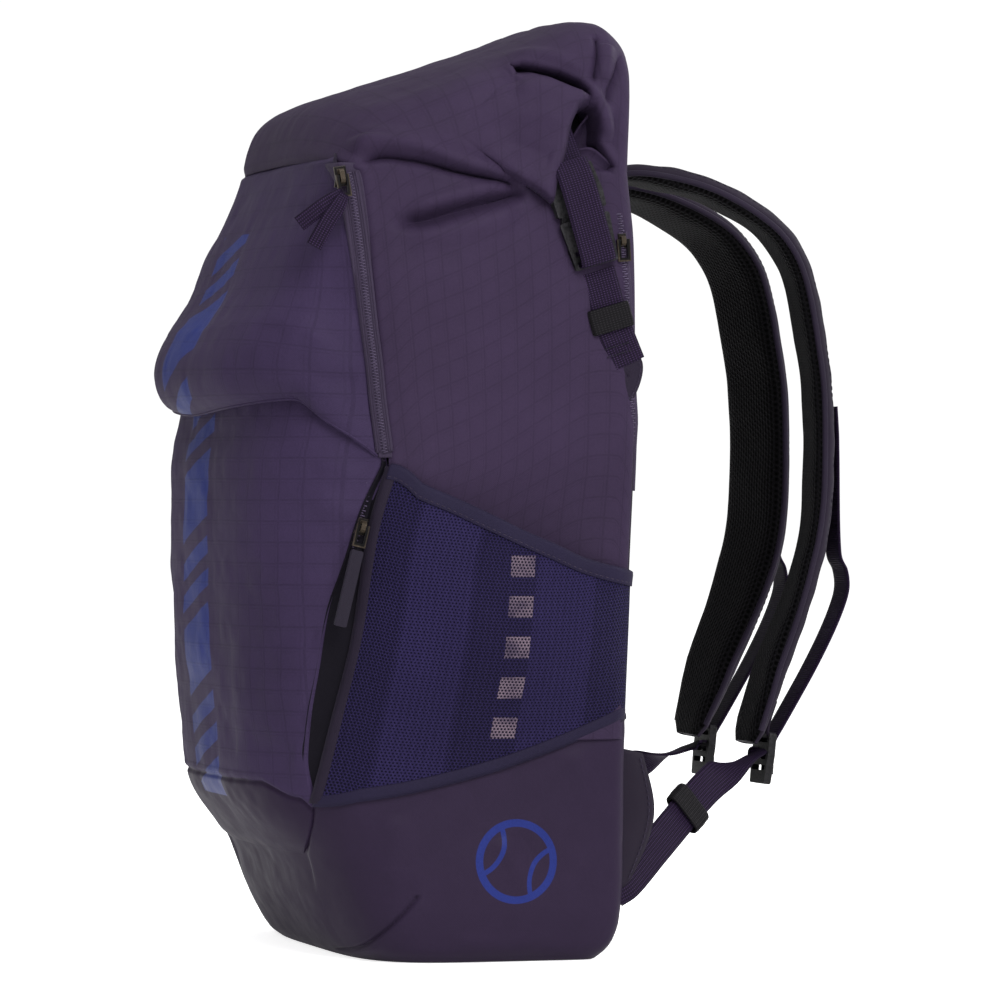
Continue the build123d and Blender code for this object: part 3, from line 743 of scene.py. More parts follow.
def plastic(name, base, rough, grain, wear):
    """Moulded plastic with paler worn edges."""
    nodes = Nodes(name)
    grit = nodes.noise(700.0, detail=4.0, rough=0.6)
    edge = nodes.mul(nodes.pointiness(0.53, 0.62), nodes.ramp(grit, 0.35, 0.6, 0.2, 1.0))
    body = nodes.tint(base, nodes.ramp(nodes.noise(60.0), 0.3, 0.7, 0.85, 1.15))
    color = nodes.mix(nodes.mul(edge, wear), body, srgb(120, 116, 124))
    roughness = nodes.ramp(grit, 0.25, 0.75, rough - 0.07, rough + 0.1)
    normal = nodes.bump(grit, strength=grain, distance=0.0006)
    return nodes.finish(color, roughness, normal, spec=0.09)


def metal(name, base):
    """Dark metal, scratched brassy on its edges."""
    nodes = Nodes(name)
    grit = nodes.noise(500.0, detail=4.0, rough=0.65)
    edge = nodes.pointiness(0.52, 0.6)
    scratches = nodes.math("MULTIPLY_ADD", nodes.ramp(grit, 0.55, 0.7), 0.5, 0.5)
    worn = nodes.math("MULTIPLY", edge, scratches, clamp=True)
    color = nodes.mix(nodes.mul(worn, 0.5), base, srgb(96, 84, 70))
    roughness = nodes.ramp(grit, 0.3, 0.7, 0.28, 0.48)
    normal = nodes.bump(grit, strength=0.08, distance=0.0004)
    return nodes.finish(color, roughness, normal, spec=0.1, metallic=0.55)


def thread(name, base):
    nodes = Nodes(name)
    fibre = nodes.noise(2500.0, detail=2.0, rough=0.7)
    color = nodes.tint(base, nodes.ramp(fibre, 0.25, 0.75, 0.7, 1.3))
    normal = nodes.bump(fibre, strength=0.4, distance=0.0002)
    return nodes.finish(color, 0.6, normal, sheen=0.03, spec=0.08)


FRONT_COLOR = srgb(43, 34, 56)
COATED_COLOR = srgb(33, 25, 41)
COATING = dict(weave=1.4, weave_bump=0.12, rough=0.5, sheen=0.004, crumpled=0.12, fade=0.06)

RIPSTOP = woven("ripstop", srgb(40, 31, 49), cell=11.5)
FRONT_CLOTH = woven("ripstop_front", FRONT_COLOR, cell=11.5, printed=print_blocks)
COATED = woven("coated_base", COATED_COLOR, printed=print_ball, **COATING)
COATED_FRONT = woven("coated_front", COATED_COLOR, printed=print_blocks, spec=0.03, **COATING)
# near-black cloth for the floor of the roll's mouth: painted shade of the hollow inside the roll
MOUTH_SHADE = woven("painted_mouth_shade", srgb(12, 10, 15), weave=1.0, rough=0.7, sheen=0.01)
GUSSET = woven("gusset_fabric", srgb(14, 12, 18), weave=1.1, rough=0.7, sheen=0.015)
STRAP_CLOTH = woven("strap_fabric", srgb(26, 21, 31), weave=1.0, weave_bump=0.5, rough=0.62)
BINDING = woven(
    "binding_tape", srgb(28, 23, 34), weave=1.3, weave_bump=0.7, rough=0.62, sheen=0.03
)
HEM_CLOTH = woven("pocket_hem", srgb(27, 23, 40), weave=1.2, weave_bump=0.6, sheen=0.03)
ZIP_TAPE = woven("zip_tape", srgb(46, 39, 54), weave=1.2, weave_bump=0.8, rough=0.62, sheen=0.025)
POCKET_MESH = knit_mesh(
    "pocket_mesh", srgb(29, 24, 52), srgb(10, 8, 20), pitch_u=2.0, pitch_v=1.7,
    hole_size=0.27, strength=0.8, rough=0.6, pocket=True,
)
SPACER = knit_mesh(
    "spacer_mesh", srgb(11, 10, 12), srgb(1, 1, 1), pitch_u=3.4, pitch_v=2.9,
    hole_size=0.3, strength=1.0, rough=0.7,
)
WEBBING = webbing("webbing", srgb(18, 12, 25), srgb(50, 36, 64))
ELASTIC = webbing("elastic", srgb(13, 12, 14), srgb(32, 30, 33), pitch=1.1)
ACETAL = plastic("acetal", srgb(9, 9, 10), rough=0.45, grain=0.06, wear=0.08)
COIL = plastic("zip_coil", srgb(58, 50, 68), rough=0.35, grain=0.03, wear=0.1)
METAL = metal("zip_metal", srgb(12, 11, 12))
THREAD = thread("thread", srgb(38, 32, 47))
DARK_THREAD = thread("thread_dark", srgb(24, 20, 30))

# ==== plan outlines of the stuffed body, by height ========================================
# z, half width, front depth, front squareness
body_section = monotone_curve([
    (0, 137, 69, 4), (6, 141, 76, 4), (17.5, 144.5, 84, 3.8), (30, 147, 91, 3.6),
    (46, 148, 98, 3.5), (54, 148, 101.5, 3.5), (98, 148.5, 127, 3.5), (167, 148.5, 132.5, 3.5),
    (242, 148, 135, 3.5), (290, 147.5, 136.5, 3.3), (318, 147, 136.5, 3.1),
    (338, 147, 133.5, 3.1), (362, 147, 124, 3), (385, 146.5, 117, 3.2), (413, 145.5, 110, 3.5),
    (440, 144, 100, 4), (470, 142, 88, 4),
])
# z, y of the back face
back_of = monotone_curve([
    (0, 60), (6, 66), (12, 69.5), (22, 72), (34, 73), (94, 73.8), (130, 75), (198, 78),
    (308, 82.5), (390, 82), (437, 78.5), (494, 76.5),
])
# the stiffened edge that the upper pocket's zip runs along:
# z, x, depth, depth at the centre of the front, roundness
stiff_edge = monotone_curve([
    (280, 144.9, 66, 140, 4.6), (296, 144.6, 68, 139, 4.6), (322, 143.9, 72, 134.5, 4.2),
    (345, 143, 75, 123.5, 3.9), (368, 142.3, 78.5, 116.5, 3.7), (391, 141.2, 82.5, 111.5, 3.3),
    (413, 140, 86, 105, 2.7), (436, 138.5, 88.5, 97.5, 2.6), (450, 138, 89.5, 95, 2.6),
])
EDGE_S = 0.76  # outline parameter at the stiffened edge
BACK_POWER = 14  # squareness of the back corners


def front_point(z, s):
    """x and y on the front half: s runs -1..1 from mid right side round the front to the left."""
    z, s = np.asarray(z, float), np.asarray(s, float)
    half_width, depth, power = np.moveaxis(body_section(z), -1, 0)
    reach = np.minimum(np.abs(s), 1.0)
    angle = reach * np.pi / 2
    plain_x = half_width * np.sin(angle) ** (2 / power)
    plain_y = depth * np.maximum(np.cos(angle), 0) ** (2 / power)
    edge_x, edge_y, centre, roundness = np.moveaxis(stiff_edge(z), -1, 0)
    share = np.minimum(np.sin(angle) / np.sin(EDGE_S * np.pi / 2), 1.0) ** 0.6
    past = np.clip((reach - EDGE_S) / (1 - EDGE_S), 0, 1)
    flank_x = half_width - (half_width - edge_x) * (1 - past) ** 2.2
    in_front = reach < EDGE_S
    stiff_x = np.where(in_front, edge_x * share, flank_x)
    stiff_y = np.where(in_front, centre - (centre - edge_y) * share**roundness,
                       edge_y * (1 - past))
    stiff = ease(z, 296, 336)
    x = plain_x + (stiff_x - plain_x) * stiff
    y = plain_y + (stiff_y - plain_y) * stiff
    return -np.sign(s) * x, -y


# tables for finding x or s on the front half from z and y
TABLE_Z = np.arange(0, 475.0, 1.0)
TABLE_SHARES = np.linspace(0, 1, 401)


def tabulate_outlines():
    """x, s and greatest depth at every height; x and s by share of the depth."""
    s_values = -np.linspace(0, 1, 1601)
    x_rows, s_rows, depths = [], [], []
    for z in TABLE_Z:
        x, y = front_point(np.full(s_values.shape, z), s_values)
        depth = -y
        order = np.argsort(depth)
        at = TABLE_SHARES * depth.max()
        x_rows.append(np.interp(at, depth[order], x[order]))
        s_rows.append(np.interp(at, depth[order], s_values[order]))
        depths.append(depth.max())
    return np.array(x_rows), np.array(s_rows), np.array(depths)


X_TABLE, S_TABLE, DEPTHS = tabulate_outlines()


def look_up(table, z, y):
    z = np.clip(np.asarray(z, float), 0, TABLE_Z[-1] - 1e-6)
    y = np.asarray(y, float)
    row = np.floor(z).astype(int)
    part = z - row
    above = np.minimum(row + 1, len(TABLE_Z) - 1)
    depth = DEPTHS[row] * (1 - part) + DEPTHS[above] * part
    place = np.clip(-y / depth, 0, 1) * (len(TABLE_SHARES) - 1)
    column = np.minimum(np.floor(place).astype(int), len(TABLE_SHARES) - 2)
    rest = place - column
    low = table[row, column] * (1 - rest) + table[row, column + 1] * rest
    high = table[above, column] * (1 - rest) + table[above, column + 1] * rest
    return low * (1 - part) + high * part


def side_x(z, y):
    """x of the right side's outline, front half and back half."""
    z, y = np.broadcast_arrays(np.asarray(z, float), np.asarray(y, float))
    share = np.clip(np.maximum(y, 0) / back_of(z), 0, 0.9999)
    flat = body_section(z)[..., 0] * (1 - share**BACK_POWER) ** (1 / BACK_POWER)
    return np.where(y < 0, look_up(X_TABLE, z, np.minimum(y, 0)), flat)


def back_y(x, z):
    """y of the back face."""
    share = np.clip(np.abs(x) / body_section(z)[..., 0], 0, 0.9999)
    return back_of(z) * (1 - share**BACK_POWER) ** (1 / BACK_POWER)


def sight_line(plane_x, points):
    """(y, z) points drawn at x = plane_x, carried along the view onto the body's right side."""
    found = []
    for y, z in points:
        point = np.array([plane_x, y, z], float)
        tries = point + unit(point - CAM_AT) * np.linspace(-60, 60, 481)[:, None]
        gaps = np.abs(side_x(tries[:, 2], tries[:, 1]) - tries[:, 0])
        found.append(tries[np.argmin(gaps)])
    return np.array(found)


# edges on the right side, each from the top down
UPPER_POCKET_EDGE = sight_line(140.0, [
    (-92, 434), (-88, 426), (-85.3, 413), (-82, 394), (-78.6, 372), (-75.3, 345), (-71.3, 318),
    (-68.5, 296), (-65.7, 279),
])
UPPER_CLOTH_EDGE = sight_line(144.0, [
    (-84.7, 438), (-79.7, 429), (-76.9, 413), (-74.6, 394), (-72.4, 372), (-69.6, 345),
    (-66.8, 318), (-64.5, 296), (-62.3, 277),
])
LOWER_POCKET_EDGE = sight_line(143.0, [
    (-63, 272), (-75, 247.6), (-84, 220.5), (-94, 193.5), (-100, 161), (-105, 134), (-107, 112),
    (-104, 89), (-107.5, 68), (-112, 51.6),
])
NET_FRONT_EDGE = sight_line(146.0, [(-62.3, 271), (-72.4, 237), (-82, 177), (-93, 134), (-106, 88)])


def edge_curve(line, column=1):
    """x (column 0) or y (column 1) of an edge, by z."""
    return monotone_curve(line[::-1][:, [2, column]])


upper_pocket_y = edge_curve(UPPER_POCKET_EDGE)
upper_cloth_y = edge_curve(UPPER_CLOTH_EDGE)
lower_pocket_y = edge_curve(LOWER_POCKET_EDGE)
lower_pocket_x = edge_curve(LOWER_POCKET_EDGE, column=0)
net_front_y = edge_curve(NET_FRONT_EDGE)

# ==== side panels and hood ================================================================
# One cloth from the right base, up and over the roll and down the left side.
SHELL_ROWS = 270  # front to back
SIDE_COLUMNS = 320
HOOD_COLUMNS = 430
HOOD_Z = 432.0
# Folds drawn in (y, z). Columns: width, height, end fades, skew, points
SIDE_FOLDS = [
    # long swoosh under the roll and the hollow below it
    (4.6, 6.0, (0.12, 0.1), 0.25, [(-82, 441), (-69, 446.5), (-56, 446.5), (-41, 444),
                                   (-28, 439.5), (-12, 434.5), (6, 431), (17, 427)]),
    (2.9, -8.0, (0.15, 0.12), 0.2, [(-80, 435.5), (-66, 439), (-51, 437.6), (-38, 435.2),
                                    (-27, 432.4), (-8, 428.6), (13, 425.5)]),
    # trough with a ridge either side
    (5.2, -9.5, (0.22, 0.1), 0.3, [(-61.7, 399), (-56.7, 402.7), (-42.6, 404), (-28.5, 408),
                                   (-11.6, 413), (2.6, 417.6), (15.6, 422.7)]),
    (4.2, 3.6, (0.3, 0.2), 0, [(-59.5, 407.5), (-39.8, 414), (-17, 419.6), (15.6, 424.4)]),
    (6.5, 3.4, (0.3, 0.2), 0, [(-58, 394), (-42, 396.5), (-24, 400), (-6, 405), (12, 412)]),
    # shallow waves on the roll
    (2.2, -1.6, (0.3, 0.4), 0, [(-83, 448), (-68, 450), (-50, 447)]),
    (9.0, 2.4, (0.3, 0.3), 0, [(10, 485), (-12, 477), (-30, 470), (-52, 463), (-75, 458)]),
    (7.0, -1.5, (0.3, 0.3), 0, [(-8, 494), (-34, 486), (-62, 474)]),
]
LOBE_FOLDS = [
    (5.5, 1.3, (0.4, 0.1), 0, [(-12, 458), (8, 463), (26, 462), (36, 458)]),
    (5.0, -1.4, (0.4, 0.1), 0, [(-6, 447), (12, 445), (30, 438)]),
]
# bridge of cloth between crescent and mouth, and the creases that run up to the top corner
BRIDGE_FOLDS = [
    (3.2, 4.6, (0.15, 0.25), 0, [(44, 481.5), (52.5, 477), (57.5, 469), (60.5, 458), (62, 448)]),
    (1.9, -4.2, (0.2, 0.05), 0.35, [(53.5, 480), (55.5, 489), (57.2, 498), (58.5, 508)]),
    (3.2, 2.4, (0.3, 0.1), 0, [(58.5, 482), (61, 492), (63, 503)]),
    (2.3, -4.0, (0.15, 0.2), 0.3, [(70.5, 498), (66.5, 488), (62, 478), (59.5, 468)]),
    (2.6, -1.8, (0.3, 0.3), 0, [(66, 440), (65.5, 455), (66.5, 470)]),
    (4.2, -2.6, (0.3, 0.4), 0, [(2, 492), (9, 485), (10, 476), (4, 468)]),
    (3.5, 2.2, (0.3, 0.2), 0, [(8, 498), (24, 497.5), (40, 493), (50, 487)]),
]
# outlines at the folded end of the roll, (y, z)
CRESCENT = np.array([
    (10.6, 492), (16.8, 492.8), (25.4, 490.9), (35.6, 488.2), (46.4, 483.2), (51.5, 478.3),
    (52.1, 473.9), (48.1, 475), (40.7, 478.6), (29.9, 482.9), (21.4, 484.8), (15.7, 484.2),
    (11.7, 486),
])
MOUTH = np.array([
    (50.9, 471), (44.1, 468), (40.7, 461.4), (38.4, 453.7), (37.3, 446.1), (35.6, 438.9),
    (33.9, 432.4), (31.8, 424.5), (36, 422), (40, 428.5), (48.1, 431.5), (55.5, 433.5),
    (63.5, 432.4), (66.3, 435.7), (61.2, 443.9), (57.8, 448.8), (58.3, 455.4), (57.2, 463),
    (55, 469),
])
LOBE = np.array([
    (-24, 452), (-9, 440.5), (1.5, 432.7), (9, 428), (16.8, 423.6), (24.2, 418.6), (29.6, 414),
    (31.6, 424), (33.9, 432.4), (35.6, 438.9), (37.3, 446.1), (38.4, 453.7), (40.7, 461.4),
    (44.1, 468.2), (51.5, 473.2), (47, 476.6), (40.7, 478.6), (29.9, 482.9), (21.4, 484.8),
    (14, 484), (0, 476), (-14, 464),
])
LOBE_EDGE = np.vstack([(51.5, 473.0), LOBE[13:5:-1]])
LOBE_TOP = LOBE[14:20]
LOBE_LOW = np.vstack([(-14, 444), LOBE[1:7]])
# fraction front to back, y and z of the hood's crest
roll_crest = monotone_curve([
    (0, -96, 440), (0.06, -93, 452), (0.12, -87, 465), (0.18, -76, 474), (0.25, -60, 480),
    (0.36, -38, 486.5), (0.48, -11, 495), (0.6, 16, 504), (0.7, 34, 511), (0.79, 49, 517),
    (0.86, 57, 518), (0.91, 63.5, 517.5), (0.955, 74, 508.5), (1, 78, 496),
])
# fraction front to back, squareness of the hood's arch
hood_power = monotone_curve([(0, 2.4), (0.12, 2.7), (0.3, 3.3), (0.5, 4.4), (0.8, 6.6), (1, 7)])


def far_side(points):
    """Sets the cloth's left front corner in and back from where the right one lies."""
    weight = (
        ease(points[..., 2], 392, 438) * ease(-points[..., 1], 30, 88)
        * ease(-points[..., 0], 50, 132)
    )
    out = points.copy()
    out[..., 0] += 10.0 * weight
    out[..., 1] += 16.0 * weight
    return out


def hood_arch(edge, fractions):
    """Arches over the roll from the right edge to the left, evenly spaced along each."""
    angles = np.pi * (0.5 - 0.5 * np.cos(np.pi * np.linspace(0, 1, 1601)))
    fine = np.geomspace(1e-6, angles[1], 60)[:-1]
    angles = np.concatenate([fine, angles[1:-1], np.pi - fine[::-1]])
    crest = roll_crest(fractions)
    power = hood_power(fractions)[:, None]
    cosine, sine = np.cos(angles)[None], np.sin(angles)[None]
    rise = np.abs(sine) ** (2 / power)
    x = edge[:, :1] * np.sign(cosine) * np.abs(cosine) ** (2 / power)
    y = edge[:, 1:2] + (crest[:, :1] - edge[:, 1:2]) * rise
    z = edge[:, 2:3] + (crest[:, 1:2] - edge[:, 2:3]) * rise
    rows = []
    for arch in np.stack([x, y, z], -1):
        reach = arc_lengths(arch)
        rows.append(columns_at(np.linspace(0, reach[-1], HOOD_COLUMNS)[1:-1], reach, arch))
    return np.array(rows)


def shell_base():
    fractions = np.linspace(0, 1, SHELL_ROWS)
    share, z = np.meshgrid(fractions, np.linspace(122, HOOD_Z, SIDE_COLUMNS), indexing="ij")
    upper = ease(z, 262, 284)
    front = (
        (1 - upper) * net_front_y(np.minimum(z, 271)) + upper * upper_cloth_y(np.maximum(z, 277))
    )
    y = front + (0.967 * back_of(z) - front) * share
    right = np.stack([side_x(z, y), y, z], -1)
    hood = hood_arch(right[:, -1], fractions)
    return np.concatenate([right, hood, on_side(right, -1)[:, ::-1]], 1), fractions


def side_relief(y, z):
    """Outward offset of the side cloth: a broad dome, the folds and the bottle pocket's hollow."""
    dome = 5.5 * np.exp(-((y**2) + (z - 366) ** 2) / (2 * 50.0**2))
    hollow = 12.0 * np.exp(-(((y - 8) / 42.0) ** 2 + ((z - 246) / 62.0) ** 2))
    return dome + folds(y, z, SIDE_FOLDS) - hollow


def lobe_relief(y, z):
    """Lobe of cloth at the roll's folded end, pinched along its borders."""
    to_edge, to_top, to_low = (
        polyline_distance(y, z, line)[0] for line in (LOBE_EDGE, LOBE_TOP, LOBE_LOW)
    )
    lobe = 12.5 * np.exp(-((to_edge / 27.0) ** 1.8)) * (0.85 + 0.15 * ease(to_edge, 0, 5))
    lobe = lobe + 3.0 * np.exp(-((to_low / 13.0) ** 2)) * ease(y, -16, 10)
    lobe = lobe - 3.4 * np.exp(-((to_top / 4.5) ** 2)) - 2.2 * np.exp(-((to_edge / 2.2) ** 2))
    lobe = lobe - 2.0 * np.exp(-((to_low / 2.5) ** 2)) * ease(y, -16, 4)
    lobe = lobe + folds(y, z, LOBE_FOLDS)
    return lobe * ease(-polygon_distance(y, z, LOBE), -0.4, 2.0)


def side_and_hood():
    """The cloth object, its shaped grid and the plain grid beneath."""
    base, fractions = shell_base()
    normals = outward_normals(base, 130, 160, (1, 0, 0))
    x, y, z = np.moveaxis(base, -1, 0)
    share = np.broadcast_to(fractions[:, None], y.shape)
    on_flank = ease(np.abs(x), 96, 128)
    relief = side_relief(y, z) * on_flank
    ripple = 1.3 * np.sin(x / 31.0 + 0.6) * np.sin(np.pi * share) * 0.8
    relief = relief + (1 - on_flank) * ripple
    relief = relief + (
        crumple(base, 1.7, seed=3) * (0.35 + 0.65 * ease(z, 300, 440))
        * ease(share, 0.0, 0.06) * ease(1 - share, 0.0, 0.05)
    )
    # calm the cloth toward its sewn edges, which roll inward
    relief = relief * (0.25 + 0.75 * ease(share, 0, 0.09)) * (0.3 + 0.7 * ease(1 - share, 0, 0.07))
    edge_roll = -2.5 * (1 - ease(1 - share, 0.0, 0.045)) ** 2
    edge_roll = edge_roll - 2.0 * (1 - ease(share, 0.0, 0.035)) ** 2
    lobe = lobe_relief(y, z)
    outside_lobe = ease(polygon_distance(y, z, LOBE), -2, 6)
    offset = relief * (0.35 + 0.65 * outside_lobe) + edge_roll
    offset = offset + (lobe + folds(y, z, BRIDGE_FOLDS)) * on_flank
    crescent = -17.0 * ease(-polygon_distance(y, z, CRESCENT), -0.8, 3.6)
    mouth = -24.0 * ease(-polygon_distance(y, z, MOUTH), -0.6, 4.2)
    cloth = base + normals * offset[..., None]
    cloth[..., 0] += np.sign(x) * (crescent + mouth) * on_flank
    # the lobe stands off the side, so it is kept near its own sight line
    cloth[..., 1] -= VIEW_SLOPE * lobe * on_flank * 0.8
    cloth = far_side(cloth)

    shell = sheet("side_and_hood", cloth, RIPSTOP, thick=1.4, uv=arc_uv(base), more=[MOUTH_SHADE])
    polygons = shell.data.polygons
    centres = read_vectors(polygons, "center") * 1000
    # faces deep in the roll's mouth take the near-black mouth material: painted shade of the hollow
    # inside the roll
    in_mouth = polygon_distance(centres[:, 1], centres[:, 2], MOUTH) < -3.4
    in_mouth = in_mouth & (np.abs(centres[:, 0]) > 100)
    polygons.foreach_set("material_index", in_mouth.astype(np.int32))
    face_toward(shell, len(polygons) // 8, (1, 0, 0))
    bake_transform(shell)
    return shell, cloth, base


def nearest_on_cloth(cloth, base, y, z):
    """Point of the finished cloth's right side nearest to (y, z)."""
    half = cloth[:, : cloth.shape[1] // 2]
    plain = base[:, : base.shape[1] // 2]
    hood = np.where(np.abs(plain[..., 0]) < 60, 1e6, 0)
    miss = (half[..., 1] - y) ** 2 + (half[..., 2] - z) ** 2 + hood
    return half[np.unravel_index(np.argmin(miss), miss.shape)]


# ==== front pockets =======================================================================
POCKET_COLUMNS = 420
# share of the half width, z of the crease between the pockets
crease_z = monotone_curve([(0, 299), (0.3, 303), (0.65, 306), (0.8, 294), (0.92, 283), (1, 273)])
# height above the crease, how far the upper pocket hangs over
overhang = monotone_curve([
    (0, 0), (4, 5), (10, 10), (19, 14), (28, 16), (39, 16.5), (51, 13), (63, 9), (86, 5),
    (114, 2), (141, 0),
])
# slack folds running in from the side seams:
# outer share, outer z, inner share, inner z, width, height
UPPER_SLACK = [
    (0.97, 352, 0.55, 338, 7, 1.6), (0.97, 398, 0.6, 388, 8, 1.4),
    (0.9, 424, 0.3, 418, 6, 1.2), (0.95, 318, 0.62, 326, 5, -1.6),
]
LOWER_SLACK = [
    (0.97, 240, 0.5, 262, 9, 2.0), (0.98, 205, 0.55, 212, 10, 1.3),
    (0.96, 150, 0.5, 140, 11, 1.6), (0.9, 112, 0.3, 118, 8, -1.4),
    (0.97, 178, 0.6, 172, 6, -1.2), (0.95, 264, 0.4, 280, 6, 1.6),
]
SLACK_HALF = 140  # half width that the shares are taken of


def slack_folds(across, z, table, rise, start_fade):
    """The table's folds on both halves; rise lifts their middles."""
    total = 0.0
    for side in (-1, 1):
        for outer, outer_z, inner, inner_z, width, height in table:
            middle = ((outer + inner) * SLACK_HALF / 2, (outer_z + inner_z) / 2 + rise)
            line = [(outer * SLACK_HALF, outer_z), middle, (inner * SLACK_HALF, inner_z)]
            total = total + fold(side * across * SLACK_HALF, z, soft_line(line), width, height,
                                 ends=(start_fade, 0.5))
    return total


def pocket_base(low, high_of, edge_y, rows):
    """Plain front panel between two heights: shares across and up, z, grid and normals."""
    across, up = np.meshgrid(
        np.linspace(-1, 1, POCKET_COLUMNS), np.linspace(0, 1, rows), indexing="ij"
    )
    bottom = low(np.abs(across))
    z = bottom + (high_of(np.abs(across)) - bottom) * up
    edge_s = look_up(S_TABLE, z, edge_y(z))
    x, y = front_point(z, across * np.abs(edge_s))
    base = np.stack([x, y, z], -1)
    normals = outward_normals(base, POCKET_COLUMNS // 2, rows // 2, (0, -1, 0))
    return across, up, z, base, normals


def upper_pocket():
    across, up, z, base, normals = pocket_base(
        crease_z, lambda share: 434.5 + 8.5 * (1 - share**8), upper_pocket_y, rows=190
    )
    share = np.abs(across)
    hang = overhang(z - crease_z(share)) * (1 - ease(share, 0.62, 0.985))
    relief = hang * 0.93 + 1.2 * np.sin(np.pi * up) * (1 - share**4)
    relief = relief + (
        crumple(base, 2.4, seed=21) * (1 - share**10) * ease(up, 0, 0.1) * ease(1 - up, 0, 0.06)
    )
    relief = relief + slack_folds(across, z, UPPER_SLACK, rise=-3, start_fade=0.2)
    relief = relief - 2.6 * (1 - ease(1 - share, 0, 0.03)) ** 1.5
    # the top runs in below the hood, the bottom row tucks up under the overhang
    relief = relief * ease(1 - up, 0.0, 0.05) - 3.2 * ease(z, 436.5, 441.5)
    grid = base + normals * relief[..., None]
    grid[..., 2] += 1 - ease(up, 0, 0.035)
    grid = far_side(grid)
    obj = sheet("upper_pocket_panel", grid, FRONT_CLOTH, thick=1.4, uv=(base[..., 0], z))
    face_toward(obj, len(obj.data.polygons) // 2, (0, -1, 0))
    ride(obj)
    return grid


def lower_pocket():
    """Panel whose foot is coated cloth."""
    across, _, z, base, normals = pocket_base(
        lambda share: 50.0, lambda share: crease_z(share) + 3.0, lower_pocket_y, rows=300
    )
    share = np.abs(across)
    top = crease_z(share) + 3.0
    relief = 3.0 * np.sin(np.pi * np.clip((z - 60) / 230, 0, 1)) * (1 - share**3)
    relief = relief + crumple(base, 2.6, seed=41) * (1 - share**10) * ease(z, 60, 100)
    relief = relief - 3.0 * (1 - ease(1 - share, 0, 0.035)) ** 1.5
    # slack below the overhang
    relief = relief - 4.0 * ease(z, top - 34, top - 2) * (1 - share**4)
    relief = relief + slack_folds(across, z, LOWER_SLACK, rise=4, start_fade=0.15)
    # seam between plain and coated cloth
    seam_z = 99.0 - 8.5 * ease(share, 0.5, 0.85) - 6.0 * ease(share, 0.85, 1.0)
    relief = relief - 1.3 * np.exp(-(((z - seam_z) / 1.3) ** 2))
    relief = relief + 0.5 * np.exp(-(((z - seam_z - 3.0) / 2.0) ** 2))
    relief = relief - 4.6 * (1 - ease(z, 50, 65))
    grid = base + normals * relief[..., None]
    obj = sheet("lower_pocket_panel", grid, FRONT_CLOTH, thick=1.4, uv=(base[..., 0], z),
                more=[COATED_FRONT])
    polygons = obj.data.polygons
    polygons.foreach_set("material_index", (z < seam_z)[:-1, :-1].ravel().astype(np.int32))
    face_toward(obj, len(polygons) // 2, (0, -1, 0))
    ride(obj)
    return grid


# ==== base boot ===========================================================================
BOOT_COLUMNS, BOOT_ROWS = 560, 120
# plan angle (0 = front, 90 = side, 180 = back) of the lower pocket's edge at several heights
CORNER_Z = (58.0, 62.0, 68.0, 78.0, 88.0)
CORNER_ANGLES = [
    float(np.degrees(np.arctan2(lower_pocket_x(z), -lower_pocket_y(z)))) for z in CORNER_Z
]
# plan angle, z of the boot's top edge
boot_top = monotone_curve([
    (0, 60), (CORNER_ANGLES[0] - 8, 60),
    *((angle, z + 3.0) for angle, z in zip(CORNER_ANGLES, CORNER_Z)),
    (CORNER_ANGLES[-1] + 3.5, 92.5), (66, 95), (76, 99.5), (90, 110), (108, 124), (122, 136.5),
    (136, 138), (150, 138), (180, 138),
])
DART = soft_line([(-45.5, 38.5), (-53, 28.5), (-62, 17.5), (-70, 7), (-76, -1)])
# width, height, end fades, skew, (y, z) points
BOOT_FOLDS = [
    (4.5, 1.4, (0.2, 0.3), 0, [(-3, 70), (4, 58), (10, 46), (9, 34)]),
    (4.0, -1.2, (0.2, 0.3), 0, [(9, 74), (15, 62), (18, 50)]),
    (6.0, 1.2, (0.2, 0.3), 0, [(40, 118), (46, 100), (44, 82)]),
    (9.0, 1.6, (0.2, 0.3), 0, [(-62, 84), (-58, 62), (-62, 40)]),
    (5.0, 1.2, (0.2, 0.3), 0, [(-30, 14), (0, 11), (34, 13)]),
]
# rings that close the floor, from the middle out: scale of the foot outline, z
FLOOR_RINGS = ((0.02, 0.2), (0.35, 0.2), (0.7, 0.2), (0.95, 0.2), (0.985, 0.35))


def boot_base(angles):
    """Plain boot wall, and z of its top edge."""
    angle, up = np.meshgrid(angles, np.linspace(0, 1, BOOT_ROWS), indexing="ij")
    top = boot_top(np.abs(np.degrees(angle)))
    z = 1.2 + (top - 1.2) * up
    section = body_section(z)
    half_width, depth, squareness = section[..., 0] - 0.6, section[..., 1] - 0.6, section[..., 2]
    run_x, run_y = np.sin(angle), -np.cos(angle)
    power = np.where(run_y < 0, squareness, 16.0)
    half_depth = np.where(run_y < 0, depth, back_of(z))
    sum_of_powers = (np.abs(run_x) / half_width) ** power + (np.abs(run_y) / half_depth) ** power
    radius = 1.0 / sum_of_powers ** (1 / power)
    return np.stack([radius * run_x, radius * run_y, z], -1), top


def boot_relief(base, top, angles):
    x, y, z = np.moveaxis(base, -1, 0)
    wide = np.abs(x)
    relief = crumple(base, 1.3, seed=61) * ease(z, 4, 30) * ease(top - z, 0, 8)
    bulge = np.exp(-(((z - 48) / 34.0) ** 2)) * np.exp(-(((y - 4) / 60.0) ** 2))
    relief = relief + 3.0 * bulge * ease(wide, 80, 120)
    # dart at each front corner, with a soft ridge beside it
    dart = fold(y, z, DART, width=1.0, height=-2.6, ends=(0.03, 0.02))
    ridge = fold(y, z, DART + np.array([5.0, 1.5]), width=4.0, height=1.4, ends=(0.2, 0.2))
    relief = relief + (dart + ridge) * ease(wide, 60, 90)
    # stands back behind the pocket's foot
    corner = np.interp(z, CORNER_Z, CORNER_ANGLES)
    plan = np.abs(np.degrees(angles))[:, None]
    relief = relief - 2.0 * ease(z, 34, 50) * (1 - ease(plan, corner - 1.2, corner + 1.2))
    return relief + folds(y, z, BOOT_FOLDS) * ease(wide, 70, 100)


